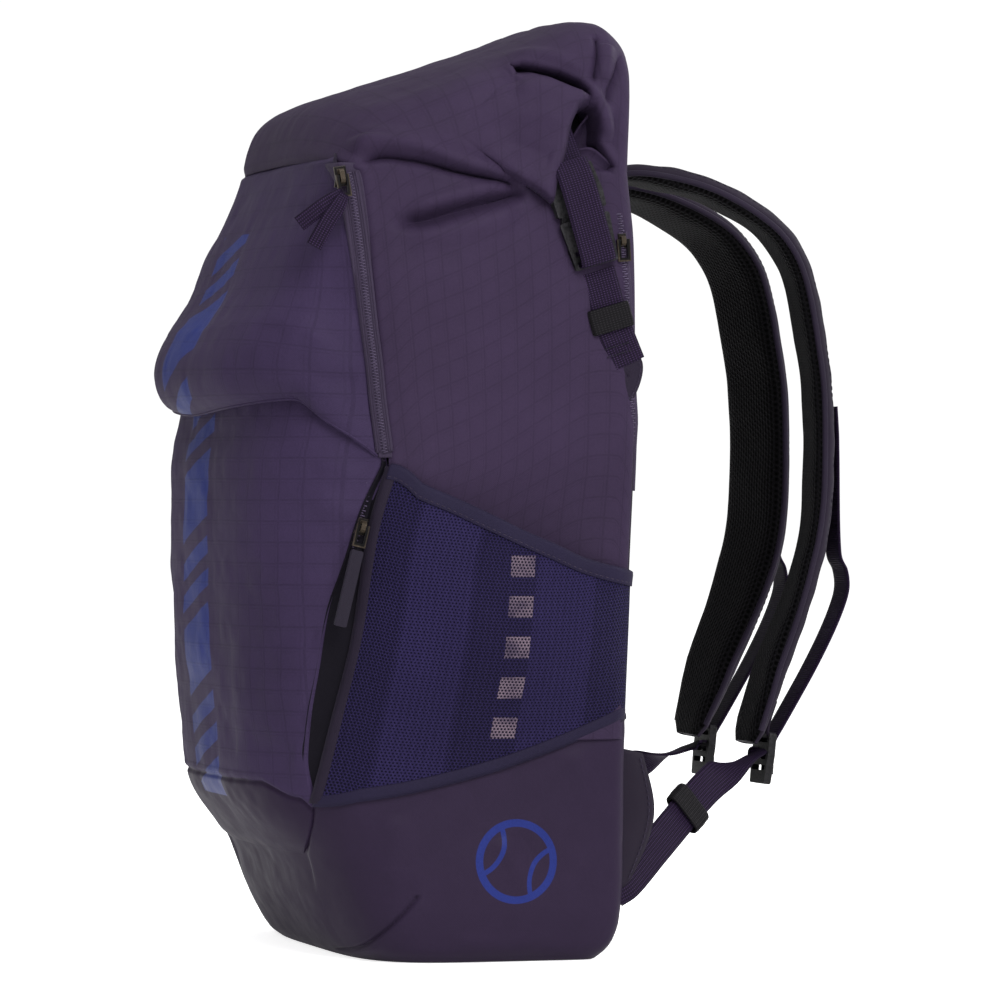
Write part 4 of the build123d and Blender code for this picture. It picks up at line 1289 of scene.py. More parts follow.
def boot():
    """Coated tub with its floor; returns the top edge, its normals and plan angles."""
    angles = np.linspace(-np.pi, np.pi, BOOT_COLUMNS, endpoint=False)
    base, top = boot_base(angles)
    x, y, z = np.moveaxis(base, -1, 0)
    normals = outward_normals(base, BOOT_COLUMNS // 2, BOOT_ROWS // 2, (0, -1, 0))
    wall = base + normals * boot_relief(base, top, angles)[..., None]
    # round the foot edge under
    wall[..., 0] -= np.clip(wall[..., 0] / 30.0, -1, 1) * (1 - ease(z, 0, 9)) * 2.0
    rings = []
    for scale, ring_z in FLOOR_RINGS:
        ring = wall[:, 0] * np.array([scale, scale, 0])
        ring[:, 2] = ring_z
        rings.append(ring)
    rings = np.stack(rings, 1)
    tub = np.concatenate([rings, wall], 1)
    steps = np.diff(base[:, -1], axis=0, append=base[:1, -1])
    girth = np.cumsum(np.linalg.norm(steps, axis=1))
    u = np.concatenate([rings[..., 0], np.repeat(girth[:, None], BOOT_ROWS, 1)], 1)
    v = np.concatenate([rings[..., 1], z], 1)
    # the front takes x as u so that its print runs straight down
    in_front = np.zeros(u.shape, bool)
    in_front[:, len(FLOOR_RINGS):] = (y < -60) & (np.abs(x) < 110)
    u = np.where(in_front, tub[..., 0], u)
    obj = sheet("boot_tub", tub, COATED_FRONT, thick=1.5, uv=(u, v), closed_u=True, more=[COATED])
    polygons = obj.data.polygons
    centres = read_vectors(polygons, "center") * 1000
    front_face = (centres[:, 1] < -60) & (np.abs(centres[:, 0]) < 90)
    polygons.foreach_set("material_index", (~front_face).astype(np.int32))
    rear = int(np.argmax(centres[:, 1] - 0.2 * np.abs(centres[:, 2] - 60)))
    face_toward(obj, rear, (0, 1, 0))
    ride(obj)
    return wall[:, -1], normals[:, -1], np.degrees(angles)


def boot_seam(edge, normals, degrees):
    """Binding on the boot's top edge, round the back from pocket to pocket."""
    start = CORNER_ANGLES[-1] + 1.5
    back = np.concatenate([np.where(degrees > start)[0], np.where(degrees < -start)[0]])
    ride(tube("boot_seam", (edge + normals * 0.3)[back][::3], 1.0, BINDING, around=8))


# ==== gusset, zips and piping =============================================================


def side_strip(z, front, rear, depth):
    """Grid on the right side between two y curves, sunk by depth in the middle."""
    share = np.linspace(0, 1, 18)
    y = front[:, None] + (rear - front)[:, None] * share
    z = np.repeat(z[:, None], len(share), 1)
    return np.stack([side_x(z, y) - depth * np.sin(math.pi * share) ** 0.6, y, z], -1)


def gussets():
    """Dark gusset of the lower pocket, and the ditch of the upper zip."""
    z = np.linspace(88, 274, 150)
    grid = side_strip(z, lower_pocket_y(z) - 3.0, net_front_y(z) + 4.0, depth=4.2)
    for name, side in SIDES:
        ride(sheet("gusset_" + name, on_side(grid, side), GUSSET, thick=1.0, flip=side < 0))
    z = np.linspace(276, 436, 120)
    grid = side_strip(z, upper_pocket_y(z) - 1.5, upper_cloth_y(z) + 2.0, depth=0.9)
    for name, side in SIDES:
        placed = grid if side > 0 else far_side(on_side(grid, -1))
        mat = ZIP_TAPE if side > 0 else GUSSET
        ride(sheet("zip_ditch_" + name, placed, mat, thick=1.0, flip=side < 0))


def zip_coil(name, path, normal, width=3.6, pitch=1.35, radius=0.42, lift=0.35):
    """Two interlocking rows of coil turns along a path."""
    path = smooth_path(path, max(8, int(length_of(path) / pitch)))
    normal = unit(normal)
    beside = unit(np.cross(unit(np.gradient(path, axis=0)), normal))
    turns = []
    for i, point in enumerate(path):
        reach = beside[i] * (width if i % 2 == 0 else -width)
        turn = [
            point + reach / 2 + normal * 0.1,
            point + reach * 0.36 + normal * (lift + radius),
            point - reach * 0.12 + normal * (lift + radius * 1.1),
            point - reach * 0.2,
        ]
        turns.append(tube_mesh(turn, radius, 6))
    return ride(join_tubes(name, turns, COIL))


def tape(name, path, normal, width, mat, thick=0.7, lift=0.0):
    """Flat tape along a path, its edges bent down a little."""
    path = smooth_path(path, max(12, int(length_of(path) / 4)))
    normal = unit(normal)
    beside = unit(np.cross(unit(np.gradient(path, axis=0)), normal))
    half = width / 2
    grid = np.stack([
        path + beside * across + normal * (lift - 0.25 * (abs(across) / half) ** 4)
        for across in np.linspace(-half, half, 9)
    ], 1)
    return ride(sheet(name, grid, mat, thick=thick, offset=0.0))


def upper_zip():
    normal = (1, -0.35, 0)
    z = np.linspace(279, 430, 60)
    front, rear = upper_pocket_y(z), upper_cloth_y(z)
    y = front + (rear - front) * 0.5
    path = np.stack([side_x(z, y), y, z], -1)
    tape("upper_zip_tape_cloth", path, normal, 9.5, ZIP_TAPE, lift=0.9)
    zip_coil("upper_zip_coil", path + np.array([1.2, -0.4, 0]), normal,
             width=2.8, pitch=0.85, radius=0.34)
    # ribs woven along both sides of the tape
    beside = unit(np.cross(unit(np.gradient(path, axis=0)), unit(normal)))
    for i, across in enumerate((-3.7, -2.5, 2.5, 3.7)):
        rib = path + beside * across + np.array([1.15, -0.35, 0])
        ride(tube(f"upper_zip_tape_rib_{i}", rib, 0.42, ZIP_TAPE, around=6))


def lower_zip():
    normal = (1, -0.1, 0)
    path = straight((144.45, -72.8, 262), (144.45, -110.8, 104), np.linspace(0.0, 0.97, 40))
    depth = 2.4 + 6.0 * ease(path[:, 2], 236, 205)
    path[:, 0] = side_x(path[:, 2], path[:, 1]) - depth
    tape("lower_zip_tape_cloth", path, normal, 9.0, GUSSET)
    zip_coil("lower_zip_coil", path + np.array([0.5, 0, 0]), normal)


def laptop_zip(cloth, base):
    normal = (1, 0.12, 0)
    path = straight((145.3, 68, 402), (145.3, 72.6, 338), np.linspace(-0.12, 2.3, 50))
    path[:, 1] = np.minimum(path[:, 1], 0.985 * back_of(path[:, 2]))
    on_cloth = [nearest_on_cloth(cloth, base, y, z) for _, y, z in path]
    path = smooth_path(on_cloth[::4], 50)
    tape("laptop_zip_tape_cloth", path, normal, 7.0, ZIP_TAPE, lift=0.7)
    zip_coil("laptop_zip_coil", path + np.array([1.1, 0.1, 0]), normal, width=3.0, pitch=1.3)


def piping(name, points, offset, radius, mat):
    points = points + np.array(offset)
    path = smooth_path(points, max(20, int(length_of(points) / 3)))
    ride(tube(name, path, radius, mat))


def pocket_piping(upper, lower):
    for name, side in SIDES:
        column = 0 if side > 0 else -1
        piping("upper_pocket_piping_" + name, upper[column][::6], (0.3 * side, 0.6, 0),
               1.3, BINDING)
        piping("lower_pocket_piping_" + name, lower[column][::6][7:], (-0.4 * side, 1.0, 0),
               0.9, FRONT_CLOTH)
    piping("upper_pocket_hem", upper[:, 2][::5], (0, 0.9, -0.4), 0.8, FRONT_CLOTH)
    piping("upper_pocket_top_seam", upper[:, -1][::5], (0, 1.0, 0.3), 1.1, BINDING)


# ==== stretch mesh bottle pockets =========================================================
hem_z = monotone_curve(sight_line(146.0, [
    (-63, 271), (-46, 261), (-25, 252), (-4, 242.5), (12, 235), (30, 227.5), (48, 219.5),
    (65, 212),
])[:, 1:])
foot_z = monotone_curve(sight_line(146.0, [
    (-113, 88.5), (-88, 92), (-57, 96), (-28, 102), (-1, 109), (30, 119.5), (67.6, 135),
])[:, 1:])
# band profiles: offset into the mesh from its edge, offset outward
HEM_PROFILE = ((-7.0, 0.9), (-6.6, 1.2), (-4.0, 1.3), (-1.0, 1.5), (0.8, 1.4), (1.5, 0.2),
               (0.6, -0.9), (-2.0, -1.0))
FOOT_PROFILE = ((-2.0, 0.2), (1.0, 0.9), (4.5, 0.8), (5.4, 0.3))
FRONT_PROFILE = ((-2.5, -0.4), (-0.4, 0.9), (3.2, 0.9), (4.2, 0.2))


def net_grid():
    """Right-hand mesh: rows run front to back, columns foot to hem."""
    back = np.linspace(0, 1, 150)[:, None]
    up = np.linspace(0, 1, 130)[None]
    front_z = 88.0 + (271.0 - 88.0) * up
    front_y = net_front_y(front_z)
    rear_y = 0.965 * back_of(135 + (212 - 135) * up)
    y = front_y + (rear_y - front_y) * back
    low = foot_z(y) - 1.5
    # the front end is straight, the rest runs between the slanted foot and hem
    slanted = np.minimum(1.0, back / 0.12)
    z = (1 - slanted) * front_z + slanted * (low + (hem_z(y) - low) * up)
    grid = np.stack([side_x(z, y), y, z], -1)
    belly = np.sin(np.pi * back)
    bulge = 15.0 * belly**0.8 * (ease(up, 0, 0.5) * (1 - 0.45 * ease(up, 0.6, 1.0)))
    bulge = bulge + crumple(grid, 1.8, seed=71) * belly * ease(up, 0, 0.12)
    # slack ripples along the hem
    bulge = bulge + np.sin(back * 21.0) * ease(up, 0.9, 1.0) * belly
    grid[..., 0] += bulge + 0.8
    grid[..., 1] -= VIEW_SLOPE * bulge * 0.8
    return grid


def band(name, edge, inward, outward, profile, mat, flip):
    grid = np.stack([edge + inward * along + outward * out for along, out in profile], 1)
    ride(sheet(name, grid, mat, thick=0.7, offset=0.0, flip=flip))


def mesh_pockets():
    right = net_grid()
    for name, side in SIDES:
        net = on_side(right, side)
        outside = np.array([side, 0.0, 0.0])
        ride(sheet("mesh_pocket_cloth_" + name, net, POCKET_MESH, thick=1.0, offset=0.0,
                   flip=side < 0))
        hem = net[:, -1]
        rise = unit(net[:, -1] - net[:, -8])
        out = unit(np.cross(unit(np.gradient(hem, axis=0)), rise))
        out = out * np.sign((out * outside).sum(1, keepdims=True))
        band("mesh_hem_" + name, hem, rise, out, HEM_PROFILE, HEM_CLOTH, side < 0)
        seam = (hem + rise * -5.6 + out * 1.5)[::2]
        ride(stitches("hem_stitch_" + name, seam, out[::2], THREAD, **SEAM))
        # bands where the mesh is sewn to the boot and to the pocket's front
        band("mesh_foot_band_" + name, net[:, 0], unit(net[:, 6] - net[:, 0]), outside,
             FOOT_PROFILE, HEM_CLOTH, side < 0)
        band("mesh_front_band_" + name, net[0], unit(net[5] - net[0]), outside,
             FRONT_PROFILE, BINDING, side > 0)


# ==== cloth turned in behind the roll's mouth =============================================


def seen(y, z, x):
    """Point at depth x on the sight line of (y, z) drawn at x = 146."""
    return np.array([x, y - VIEW_SLOPE * (x - 146.0), z])


# name, path, width vector at each point, height of the arch
INNER_FOLDS = [
    ("roll_inner_a", [seen(57, 468, 136), seen(50, 458, 132), seen(46, 446, 131),
                      seen(48, 434, 134)],
     [(1, 5, 1.5), (1, 6, 2), (1, 7, 1), (0.5, 8, 0)], -4.0),
    ("roll_inner_b", [seen(40, 440, 140), seen(48, 441, 142), seen(56, 437, 142),
                      seen(64, 431, 141)],
     [(0.5, 2, 5), (0.5, 2.5, 5), (0.5, 3, 5), (0.5, 2, 3.5)], -2.5),
]


def inner_folds():
    for name, points, widths, lift in INNER_FOLDS:
        path, across = smooth_path(points, 40), smooth_path(widths, 40)
        normals = unit(np.cross(unit(np.gradient(path, axis=0)), across))
        grid = np.stack([
            path + across * share + normals * (lift * (1 - share * share))
            for share in np.linspace(-1, 1, 15)
        ], 1)
        for side_name, side in SIDES:
            tongue = sheet(f"{name}_{side_name}", on_side(grid, side), RIPSTOP, thick=1.2,
                           offset=0.0, flip=side < 0)
            ride(tongue, "rolltop")


# ==== compression webbing =================================================================
BUCKLE = np.array([151.0, 44.5, 409.0])
WEB_UP = np.array([0.0, -0.28092, 0.95973])
WEB_ACROSS = np.array([0.0, 0.95973, 0.28092])
# stations of (up along the webbing, outward, across) from the buckle's centre
# from the anchor tab up to the ladder bar
WEB_LOW = [(-86, -2.2, 3.5), (-72, -0.6, 1.5), (-58, 0.2, 0), (-42, 0.3, 0), (-32, 0.2, 0)]
# round the bar and back up over the buckle
WEB_TAIL = [
    (-24, 1.6, 0), (-27, 2.4, 0), (-27.8, 3.8, 0), (-27.6, 6, 0), (-27.4, 8.4, 0), (-24, 9.6, 0),
    (-12, 9.9, 0), (4, 10, 0), (16, 9.4, 0), (25, 7.4, 0), (30, 4.6, 0),
]
# the roll's own webbing into the top of the buckle
WEB_TOP = [(24, -1, 0), (32, -3, 0), (42, -5.5, 0), (50, -9, 0)]
KEEPER_AT = np.array([151.0, 61.07, 352.38])
ANCHOR_TAB = np.array([
    (146.6, 60, 326), (148.2, 66, 333), (148, 78.5, 331.5), (146.5, 80.5, 322),
    (145.8, 75, 308), (146, 69, 306),
])


def web_points(stations):
    return np.array([
        np.array([BUCKLE[0] + out, BUCKLE[1], BUCKLE[2]]) + WEB_UP * along + WEB_ACROSS * across
        for along, out, across in stations
    ])


def keeper_sleeve(name, side, flip, body, centre, along, axes, halves, powers):
    """Elastic loop: a rounded section with half sizes and squarenesses on its two axes."""
    angles = np.linspace(0, 2 * np.pi, 40, endpoint=False)
    first, second = (
        half * np.sign(wave) * np.abs(wave) ** power
        for half, power, wave in zip(halves, powers, (np.cos(angles), np.sin(angles)))
    )
    stations = np.linspace(-7.0, 7.0, 25)[:, None]
    swell = 1.0 + 0.02 * np.cos(stations * 5.0) - 0.05 * (np.abs(stations) / 7.0) ** 8
    section = axes[0] * first[:, None] + axes[1] * second[:, None]
    grid = centre + along * stations[..., None] + section * swell[..., None]
    wide = first if halves[0] > halves[1] else second
    uv = (np.repeat(stations, 40, 1), np.tile(wide, (25, 1)) * 0.6)
    ride(sheet(name, on_side(grid, side), ELASTIC, thick=0.9, uv=uv, closed_v=True, flip=flip),
         body)


def anchor_tab(name, side):
    """Rounded triangular tab at the side seam, stitched round."""
    centre = ANCHOR_TAB.mean(0)
    ring = smooth_path(ANCHOR_TAB, 48, closed=True)
    grid = np.stack([
        centre + (ring - centre) * scale + np.array([0.9 * (1 - scale * scale), 0, 0])
        for scale in (1.0, 0.85, 0.6, 0.3, 0.04)
    ], 0)
    ride(sheet("anchor_tab_" + name, on_side(grid, side), BINDING, thick=1.8, offset=0.0,
               closed_v=True, flip=side > 0))
    seam = on_side(centre + (ring - centre) * 0.84 + np.array([1.25, 0, 0]), side)
    ride(stitches("anchor_stitch_" + name, seam, (side, 0, 0), THREAD, **SEAM))


def compression(name, side):
    for piece, stations, count, width, body in (
        ("compression_web_", WEB_LOW, 60, 20.0, "bag"),
        ("compression_tail_", WEB_TAIL, 90, 20.0, "bag"),
        ("roll_web_", WEB_TOP, 40, 19.5, "rolltop"),
    ):
        path = smooth_path(on_side(web_points(stations), side), count)
        ride(ribbon(piece + name, path, WEB_ACROSS, WEBBING, width=width, thick=1.6), body)
    keeper_sleeve(
        "side_keeper_sleeve_" + name, side, side > 0, "side_keeper_" + name, KEEPER_AT, WEB_UP,
        axes=(np.array([1.0, 0, 0]), WEB_ACROSS), halves=(3.3, 12.3), powers=(0.55, 0.3),
    )
    anchor_tab(name, side)
    # bar tacks across the webbing's foot
    for along in (-79.0, -74.5):
        row = web_points([(along, 0.45, across) for across in np.linspace(-8, 8, 12)])
        ride(stitches(f"compression_tack_{abs(int(along))}_{name}", on_side(row, side),
                      (side, 0, 0), DARK_THREAD, length=1.6, gap=0.5, radius=0.3))


# ==== webbing tails on the upper zip ======================================================


def pull_tail(name, start, end, across):
    """Folded webbing tail: two layers, stitched across."""
    start, end, across = np.array(start), np.array(end), np.array(across)
    width = 8.6
    layer_gap = np.array([0.75, 0, 0])
    weave = dict(thick=1.3, pitch=1.5, ripple=0.16, taper=((0, 0.62), (0.16, 0.9), (0.3, 1), (1, 1)))
    near_top = start * 0.72 + end * 0.28 + np.array([0.8, 0, 0])
    middle = (start + end) / 2 + np.array([1.2, -0.6, 0])
    path = smooth_path([start, near_top, middle, end], 60)
    ride(ribbon(name + "_outer", path + layer_gap, across, WEBBING, width=width, **weave),
         "upper_pull")
    inner = path[: int(len(path) * 0.94)] - layer_gap
    ride(ribbon(name + "_inner", inner, across, WEBBING, width=width * 0.97, **weave),
         "upper_pull")
    for fraction in (0.36, 0.42):
        centre = start + (end - start) * fraction + np.array([1.9, -0.3, 0])
        row = centre + unit(across) * np.linspace(-width * 0.4, width * 0.4, 8)[:, None]
        ride(stitches(f"{name}_tack_{int(fraction*100)}", row, (1, 0, 0), DARK_THREAD,
                      length=1.3, gap=0.3, radius=0.26), "upper_pull")


# ==== shoulder straps =====================================================================
# centre line of the right strap's outer face, from its root down to the ladder lock
STRAP_POINTS = [
    (49.5, 79.5, 430), (50, 84, 436.5), (51, 92, 441), (52.5, 106, 442.5), (53.5, 128, 440.5),
    (54, 146, 436), (54, 161, 430), (54, 176, 422), (54, 190, 412), (54, 200.5, 400),
    (54, 208, 386), (54, 213.5, 366), (54, 217.5, 343.5), (54, 220.8, 321), (54, 222, 298),
    (54, 222, 270), (54, 221, 248), (54, 217.5, 225), (54, 211.5, 204), (54, 203.5, 182),
    (54, 193, 157), (54, 182.5, 132), (54, 174.5, 114),
]
STRAP_ROWS, STRAP_AROUND = 300, 52
STRAP_PATH = smooth_path(STRAP_POINTS, STRAP_ROWS)
STRAP_REACH = arc_lengths(STRAP_PATH)
STRAP_SHARE = STRAP_REACH / STRAP_REACH[-1]
STRAP_RUN = unit(np.gradient(STRAP_PATH, axis=0))


def away_from_inside(normals):
    """Turns the strap's normals away from the space inside its curve."""
    outward = (normals * (STRAP_PATH - np.array([54, 120, 250.0]))).sum(1)
    return normals * np.sign(outward)[:, None]


def strap_frame():
    """Width direction and outer normal at each station; the strap twists along its length."""
    degrees = np.interp(STRAP_SHARE, [0, 0.08, 0.2, 0.35, 0.75, 0.92, 1], [0, 1, 5, 10.5, 12, 6, 2])
    twist = -np.radians(degrees)[:, None]
    across = np.tile(np.array([1.0, 0, 0]), (STRAP_ROWS, 1))
    normals = away_from_inside(unit(np.cross(across, STRAP_RUN)))
    across = across * np.cos(twist) + normals * np.sin(twist)
    return across, away_from_inside(unit(np.cross(STRAP_RUN, across)))


STRAP_ACROSS, STRAP_NORMAL = strap_frame()
STRAP_WIDTH = np.interp(
    STRAP_SHARE, [0, 0.03, 0.12, 0.25, 0.5, 0.8, 0.93, 0.985, 1],
    [44, 46, 56, 61, 62, 61, 57, 48, 34],
)
STRAP_THICK = np.interp(STRAP_SHARE, [0, 0.05, 0.12, 0.9, 0.97, 1], [7.5, 10, 13, 13, 9, 5.5])
# section shape: powers of the cosine (across) and sine (through), thinning toward the edges
ACROSS_POWER, THROUGH_POWER, EDGE_THINNING = 0.32, 0.75, 0.24
STITCH_INSET = 4.5

# outer webbing below where it is sewn: stands off as a small loop, then flat to the lock
STRAP_WEB = [
    (54, 224.5, 224), (54, 228.5, 213), (54, 229.5, 203), (54, 226.5, 192), (54, 219.5, 176),
    (54, 209.5, 157), (54, 199, 139), (54, 190, 124), (54, 185.5, 116.5), (54, 184, 111),
]
# lower webbing, from the bag's foot corner up to the ladder lock
LOWER_WEB = smooth_path([
    (138, 67, 38.5), (134, 76.5, 43.5), (118, 96.5, 59.3), (104, 114, 73.2), (92, 129, 85),
    (82, 142, 94), (72, 155, 100.5), (63, 168, 105), (57.5, 177, 108.5), (54.8, 181, 110.5),
    (54, 183.2, 108), (54, 184.6, 103), (54, 184.3, 97),
], 240)
LOWER_WEB_FACE = unit((0.8472, 0.4165, 0.3299))
LOWER_WEB_RUN = unit((0.5313, -0.6641, -0.5260))
LOWER_KEEPER_AT = np.array([96.75, 123.06, 80.38])


def lower_web_across():
    """Width direction: square to the face low down, turning to x at the lock."""
    low = unit(np.cross(LOWER_WEB_FACE, LOWER_WEB_RUN))
    turned = ease(np.linspace(0, 1, len(LOWER_WEB)), 0.60, 0.84)[:, None]
    return unit(low * (1 - turned) + np.array([1.0, 0.0, 0.0]) * turned)


LOWER_WEB_ACROSS = lower_web_across()


def strap_blend(obj, name, side):
    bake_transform(obj)


def strap_pad(name, side):
    """Padded strap: cloth on its outer face, spacer mesh on its inner one."""
    angles = np.linspace(0, 2 * np.pi, STRAP_AROUND, endpoint=False)
    half, thick = STRAP_WIDTH[:, None] / 2, STRAP_THICK[:, None]
    cosine, sine = np.cos(angles), np.sin(angles)
    across = np.sign(cosine) * np.abs(cosine) ** ACROSS_POWER * half
    through = np.sign(sine) * np.abs(sine) ** THROUGH_POWER * thick / 2
    share = np.abs(across) / half
    through = through * (1.0 - EDGE_THINNING * share**6) - thick / 2
    # soft quilting of the inner mesh, slight puckers across the outer face
    reach = STRAP_REACH[:, None]
    quilting = 0.5 * np.cos(2 * np.pi * reach / 47.0)
    puckers = 0.35 * np.cos(2 * np.pi * reach / 21.0 + across * 0.06)
    relief = np.where(through < -thick * 0.5, quilting, puckers) * (1 - share**2)
    through = through - relief
    grid = (
        STRAP_PATH[:, None] + STRAP_ACROSS[:, None] * across[..., None]
        + STRAP_NORMAL[:, None] * through[..., None]
    )
    grid = grid + STRAP_NORMAL[:, None] * crumple(grid, 0.8, seed=120)[..., None]
    middle = (angles + np.pi / STRAP_AROUND) % (2 * np.pi)
    inner = (middle > np.pi * 1.03) & (middle < np.pi * 1.97)
    face_mat = np.concatenate([np.tile(inner.astype(np.int32), STRAP_ROWS - 1), [0, 0]])
    uv = np.stack([np.repeat(STRAP_REACH, STRAP_AROUND), across.ravel()], 1)
    grid = on_side(grid, side)
    obj = make("strap_pad_" + name, grid.reshape(-1, 3), capped_faces(STRAP_ROWS, STRAP_AROUND),
               STRAP_CLOTH, uv, more=[SPACER], face_mat=face_mat)
    row, column = STRAP_ROWS // 2, STRAP_AROUND // 4
    face_toward(obj, row * STRAP_AROUND + column, grid[row, column] - grid[row].mean(0))
    strap_blend(obj, name, side)


def strap_edges(name, side):
    """Piping where the cover meets the mesh, and a row of stitches inside it."""
    half, thick = STRAP_WIDTH / 2, STRAP_THICK
    share = (half - STITCH_INSET) / half
    cosine = share ** (1 / ACROSS_POWER)
    surface = (1 - cosine**2) ** (THROUGH_POWER / 2) * thick / 2
    surface = surface * (1 - EDGE_THINNING * share**6) - thick / 2
    for edge, sign in (("outer", 1), ("inner", -1)):
        path = STRAP_PATH + STRAP_ACROSS * (half * sign)[:, None]
        path = on_side(path - STRAP_NORMAL * (thick * 0.52)[:, None], side)
        cord = tube(f"strap_piping_{edge}_{name}", path[6:-3:3], 1.7, BINDING, around=8)
        strap_blend(cord, name, side)
        seam = STRAP_PATH + STRAP_ACROSS * ((half - STITCH_INSET) * sign)[:, None]
        seam = on_side(seam + STRAP_NORMAL * (surface - 0.15)[:, None], side)
        ride(stitches(f"strap_stitch_{edge}_{name}", seam[22:-6],
                      on_side(STRAP_NORMAL, side)[22:-6], DARK_THREAD,
                      length=2.6, gap=1.4, radius=0.28), "strap_" + name)


def strap_at(share):
    """Point, normal and direction of the strap at a share of its length."""
    point, normal, run = (
        columns_at(share, STRAP_SHARE, table) for table in (STRAP_PATH, STRAP_NORMAL, STRAP_RUN)
    )
    return point, unit(normal), unit(run)


def strap_webbing(name, side):
    """Outer webbing with its bar tacks, and the cloth tab that holds the ladder lock."""
    body = "strap_" + name
    across = (1.0, 0, 0)
    points = []
    for share, lift in ((0.54, 0.5), (0.575, 1.0), (0.60, 1.2)):
        point, normal, _ = strap_at(share)
        points.append(point + normal * lift)
    path = smooth_path(on_side(np.vstack([points, STRAP_WEB]), side), 160)
    ride(ribbon("strap_web_" + name, path, across, WEBBING, width=25.0, thick=1.6), body)
    for share in (0.575, 0.60):
        point, normal, _ = strap_at(share)
        row = np.array([
            point + normal * 1.9 + np.array([x, 0, 0]) for x in np.linspace(-10, 10, 14)
        ])
        ride(stitches(f"strap_tack_{int(share*1000)}_{name}", on_side(row, side),
                      on_side(normal, side), DARK_THREAD,
                      length=1.6, gap=0.4, radius=0.34, lift=0.15), body)
    point, normal, run = strap_at(0.965)
    path = smooth_path([
        point + normal * 0.6 - run * 12, point + normal * 1.6, (54, 181.2, 121.5), (54, 182.8, 118),
    ], 40)
    ride(ribbon("lock_tab_" + name, on_side(path, side), across, STRAP_CLOTH, width=24.0,
                thick=2.0, pitch=60, ripple=0), body)


def lower_webbing(name, side):
    path, across = LOWER_WEB, LOWER_WEB_ACROSS
    ride(ribbon("lower_web_" + name, on_side(path, side), on_side(across, side), WEBBING,
                width=20.0, thick=1.6), "strap_" + name)
    nearest = int(np.argmin(np.linalg.norm(path - LOWER_KEEPER_AT, axis=1)))
    run = unit(np.gradient(path, axis=0))[nearest]
    beside = unit(across[nearest] - run * (across[nearest] @ run))
    keeper_sleeve(
        "lower_keeper_sleeve_" + name, side, side < 0, "strap_keeper_" + name, path[nearest],
        run, axes=(beside, np.cross(run, beside)), halves=(12.2, 2.8), powers=(0.3, 0.6),
    )


def strap_wing(name, side):
    """Dark wing that ties the webbing into the base corner."""
    inner = smooth_path([(137, 64, 118), (137, 64, 90), (138.5, 60, 60), (140, 56, 34)], 30)
    outer = smooth_path([(127, 86.5, 113), (124, 94, 86), (124.5, 91.5, 68), (134, 76.5, 42)], 30)
    bulge = np.array([1, 0.6, 0])
    grid = on_side(np.stack([
        inner + (outer - inner) * share + bulge * (1.6 * math.sin(math.pi * share))
        for share in np.linspace(0, 1, 14)
    ], 1), side)
    ride(sheet("strap_wing_cloth_" + name, grid, STRAP_CLOTH, thick=2.0, offset=0.0,
               flip=side < 0))
    seam = (grid[:, -3] + np.array([side * 1.2, 0.6, 0]))[1:-1]
    ride(stitches("strap_wing_stitch_" + name, seam, (side * 0.9, 0.4, 0), THREAD, **LONG_SEAM))


# ==== back ================================================================================


def back_cloth():
    share, z = np.meshgrid(np.linspace(-1, 1, 120), np.linspace(128, 447, 90), indexing="ij")
    x = share * (body_section(z)[..., 0] * 0.985)
    grid = np.stack([x, back_y(x, z) - 1.0, z], -1)
    grid[..., 1] += crumple(grid, 0.8, seed=140) * (1 - np.abs(share) ** 6)
    ride(sheet("back_cloth", grid, STRAP_CLOTH, thick=1.4, uv=(x, z), offset=0.0))


def rounded_rectangle(x_low, x_high, z_low, z_high, radius):
    points = []
    for x, z, turn in (
        (x_high - radius, z_high - radius, 0),
        (x_low + radius, z_high - radius, 90),
        (x_low + radius, z_low + radius, 180),
        (x_high - radius, z_low + radius, 270),
    ):
        for step in np.linspace(0, 90, 7):
            angle = math.radians(turn + step)
            points.append((x + radius * math.cos(angle), z + radius * math.sin(angle)))
    return points


RIGHT_PAD = rounded_rectangle(18, 115, 144, 413, 22)
PADS = {
    "right": RIGHT_PAD,
    "left": [(-x, z) for x, z in RIGHT_PAD][::-1],
    "lumbar": rounded_rectangle(-98, 98, 68, 132, 20),
}


def pad_rings(outline):
    """Rounded cushion as concentric rings, from the rim inward."""
    rim = smooth_path([(x, 0.0, z) for x, z in outline], 150, closed=True)
    centre = rim.mean(0)
    rings = []
    for inward in np.linspace(0, 1, 16):
        scale = 1.0 - inward * 0.985
        ring = centre + (rim - centre) * scale
        foot = back_y(np.clip(ring[:, 0], -130, 130), ring[:, 2]) - 0.8
        ring[:, 1] = foot + 7.5 * (1 - scale**4) ** 0.5
        rings.append(ring)
    return np.array(rings)


def back_pad(name, outline):
    """Closed cushion with piping and a stitched line."""
    rings = pad_rings(outline)
    rows, around = rings.shape[:2]
    front = rings.reshape(-1, 3)
    rim = rings[0].copy()
    rim[:, 1] -= 1.5
    verts = np.vstack([front, rim, rim.mean(0)[None]])
    rim_start, centre = rows * around, (rows + 1) * around
    faces = grid_faces(rows, around, closed_v=True).tolist()
    faces.append([(rows - 1) * around + k for k in range(around)][::-1])
    for k in range(around):
        after = (k + 1) % around
        faces.append([rim_start + k, rim_start + after, after, k])
        faces.append([centre, rim_start + after, rim_start + k])
    obj = make("back_pad_" + name, verts, faces, SPACER, verts[:, [0, 2]])
    mesh = bmesh.new()
    mesh.from_mesh(obj.data)
    bmesh.ops.recalc_face_normals(mesh, faces=mesh.faces)
    mesh.to_mesh(obj.data)
    mesh.free()
    ride(obj)
    cord = np.vstack([rings[0], rings[0][:1]])[::2] + np.array([0, 0.9, 0])
    ride(tube("back_pad_piping_" + name, cord, 1.5, BINDING, around=8))
    ride(stitches("back_pad_stitch_" + name, np.vstack([rings[4], rings[4][:1]]), (0, 1, 0),
                  DARK_THREAD, length=2.8, gap=1.6, radius=0.28))
    return obj


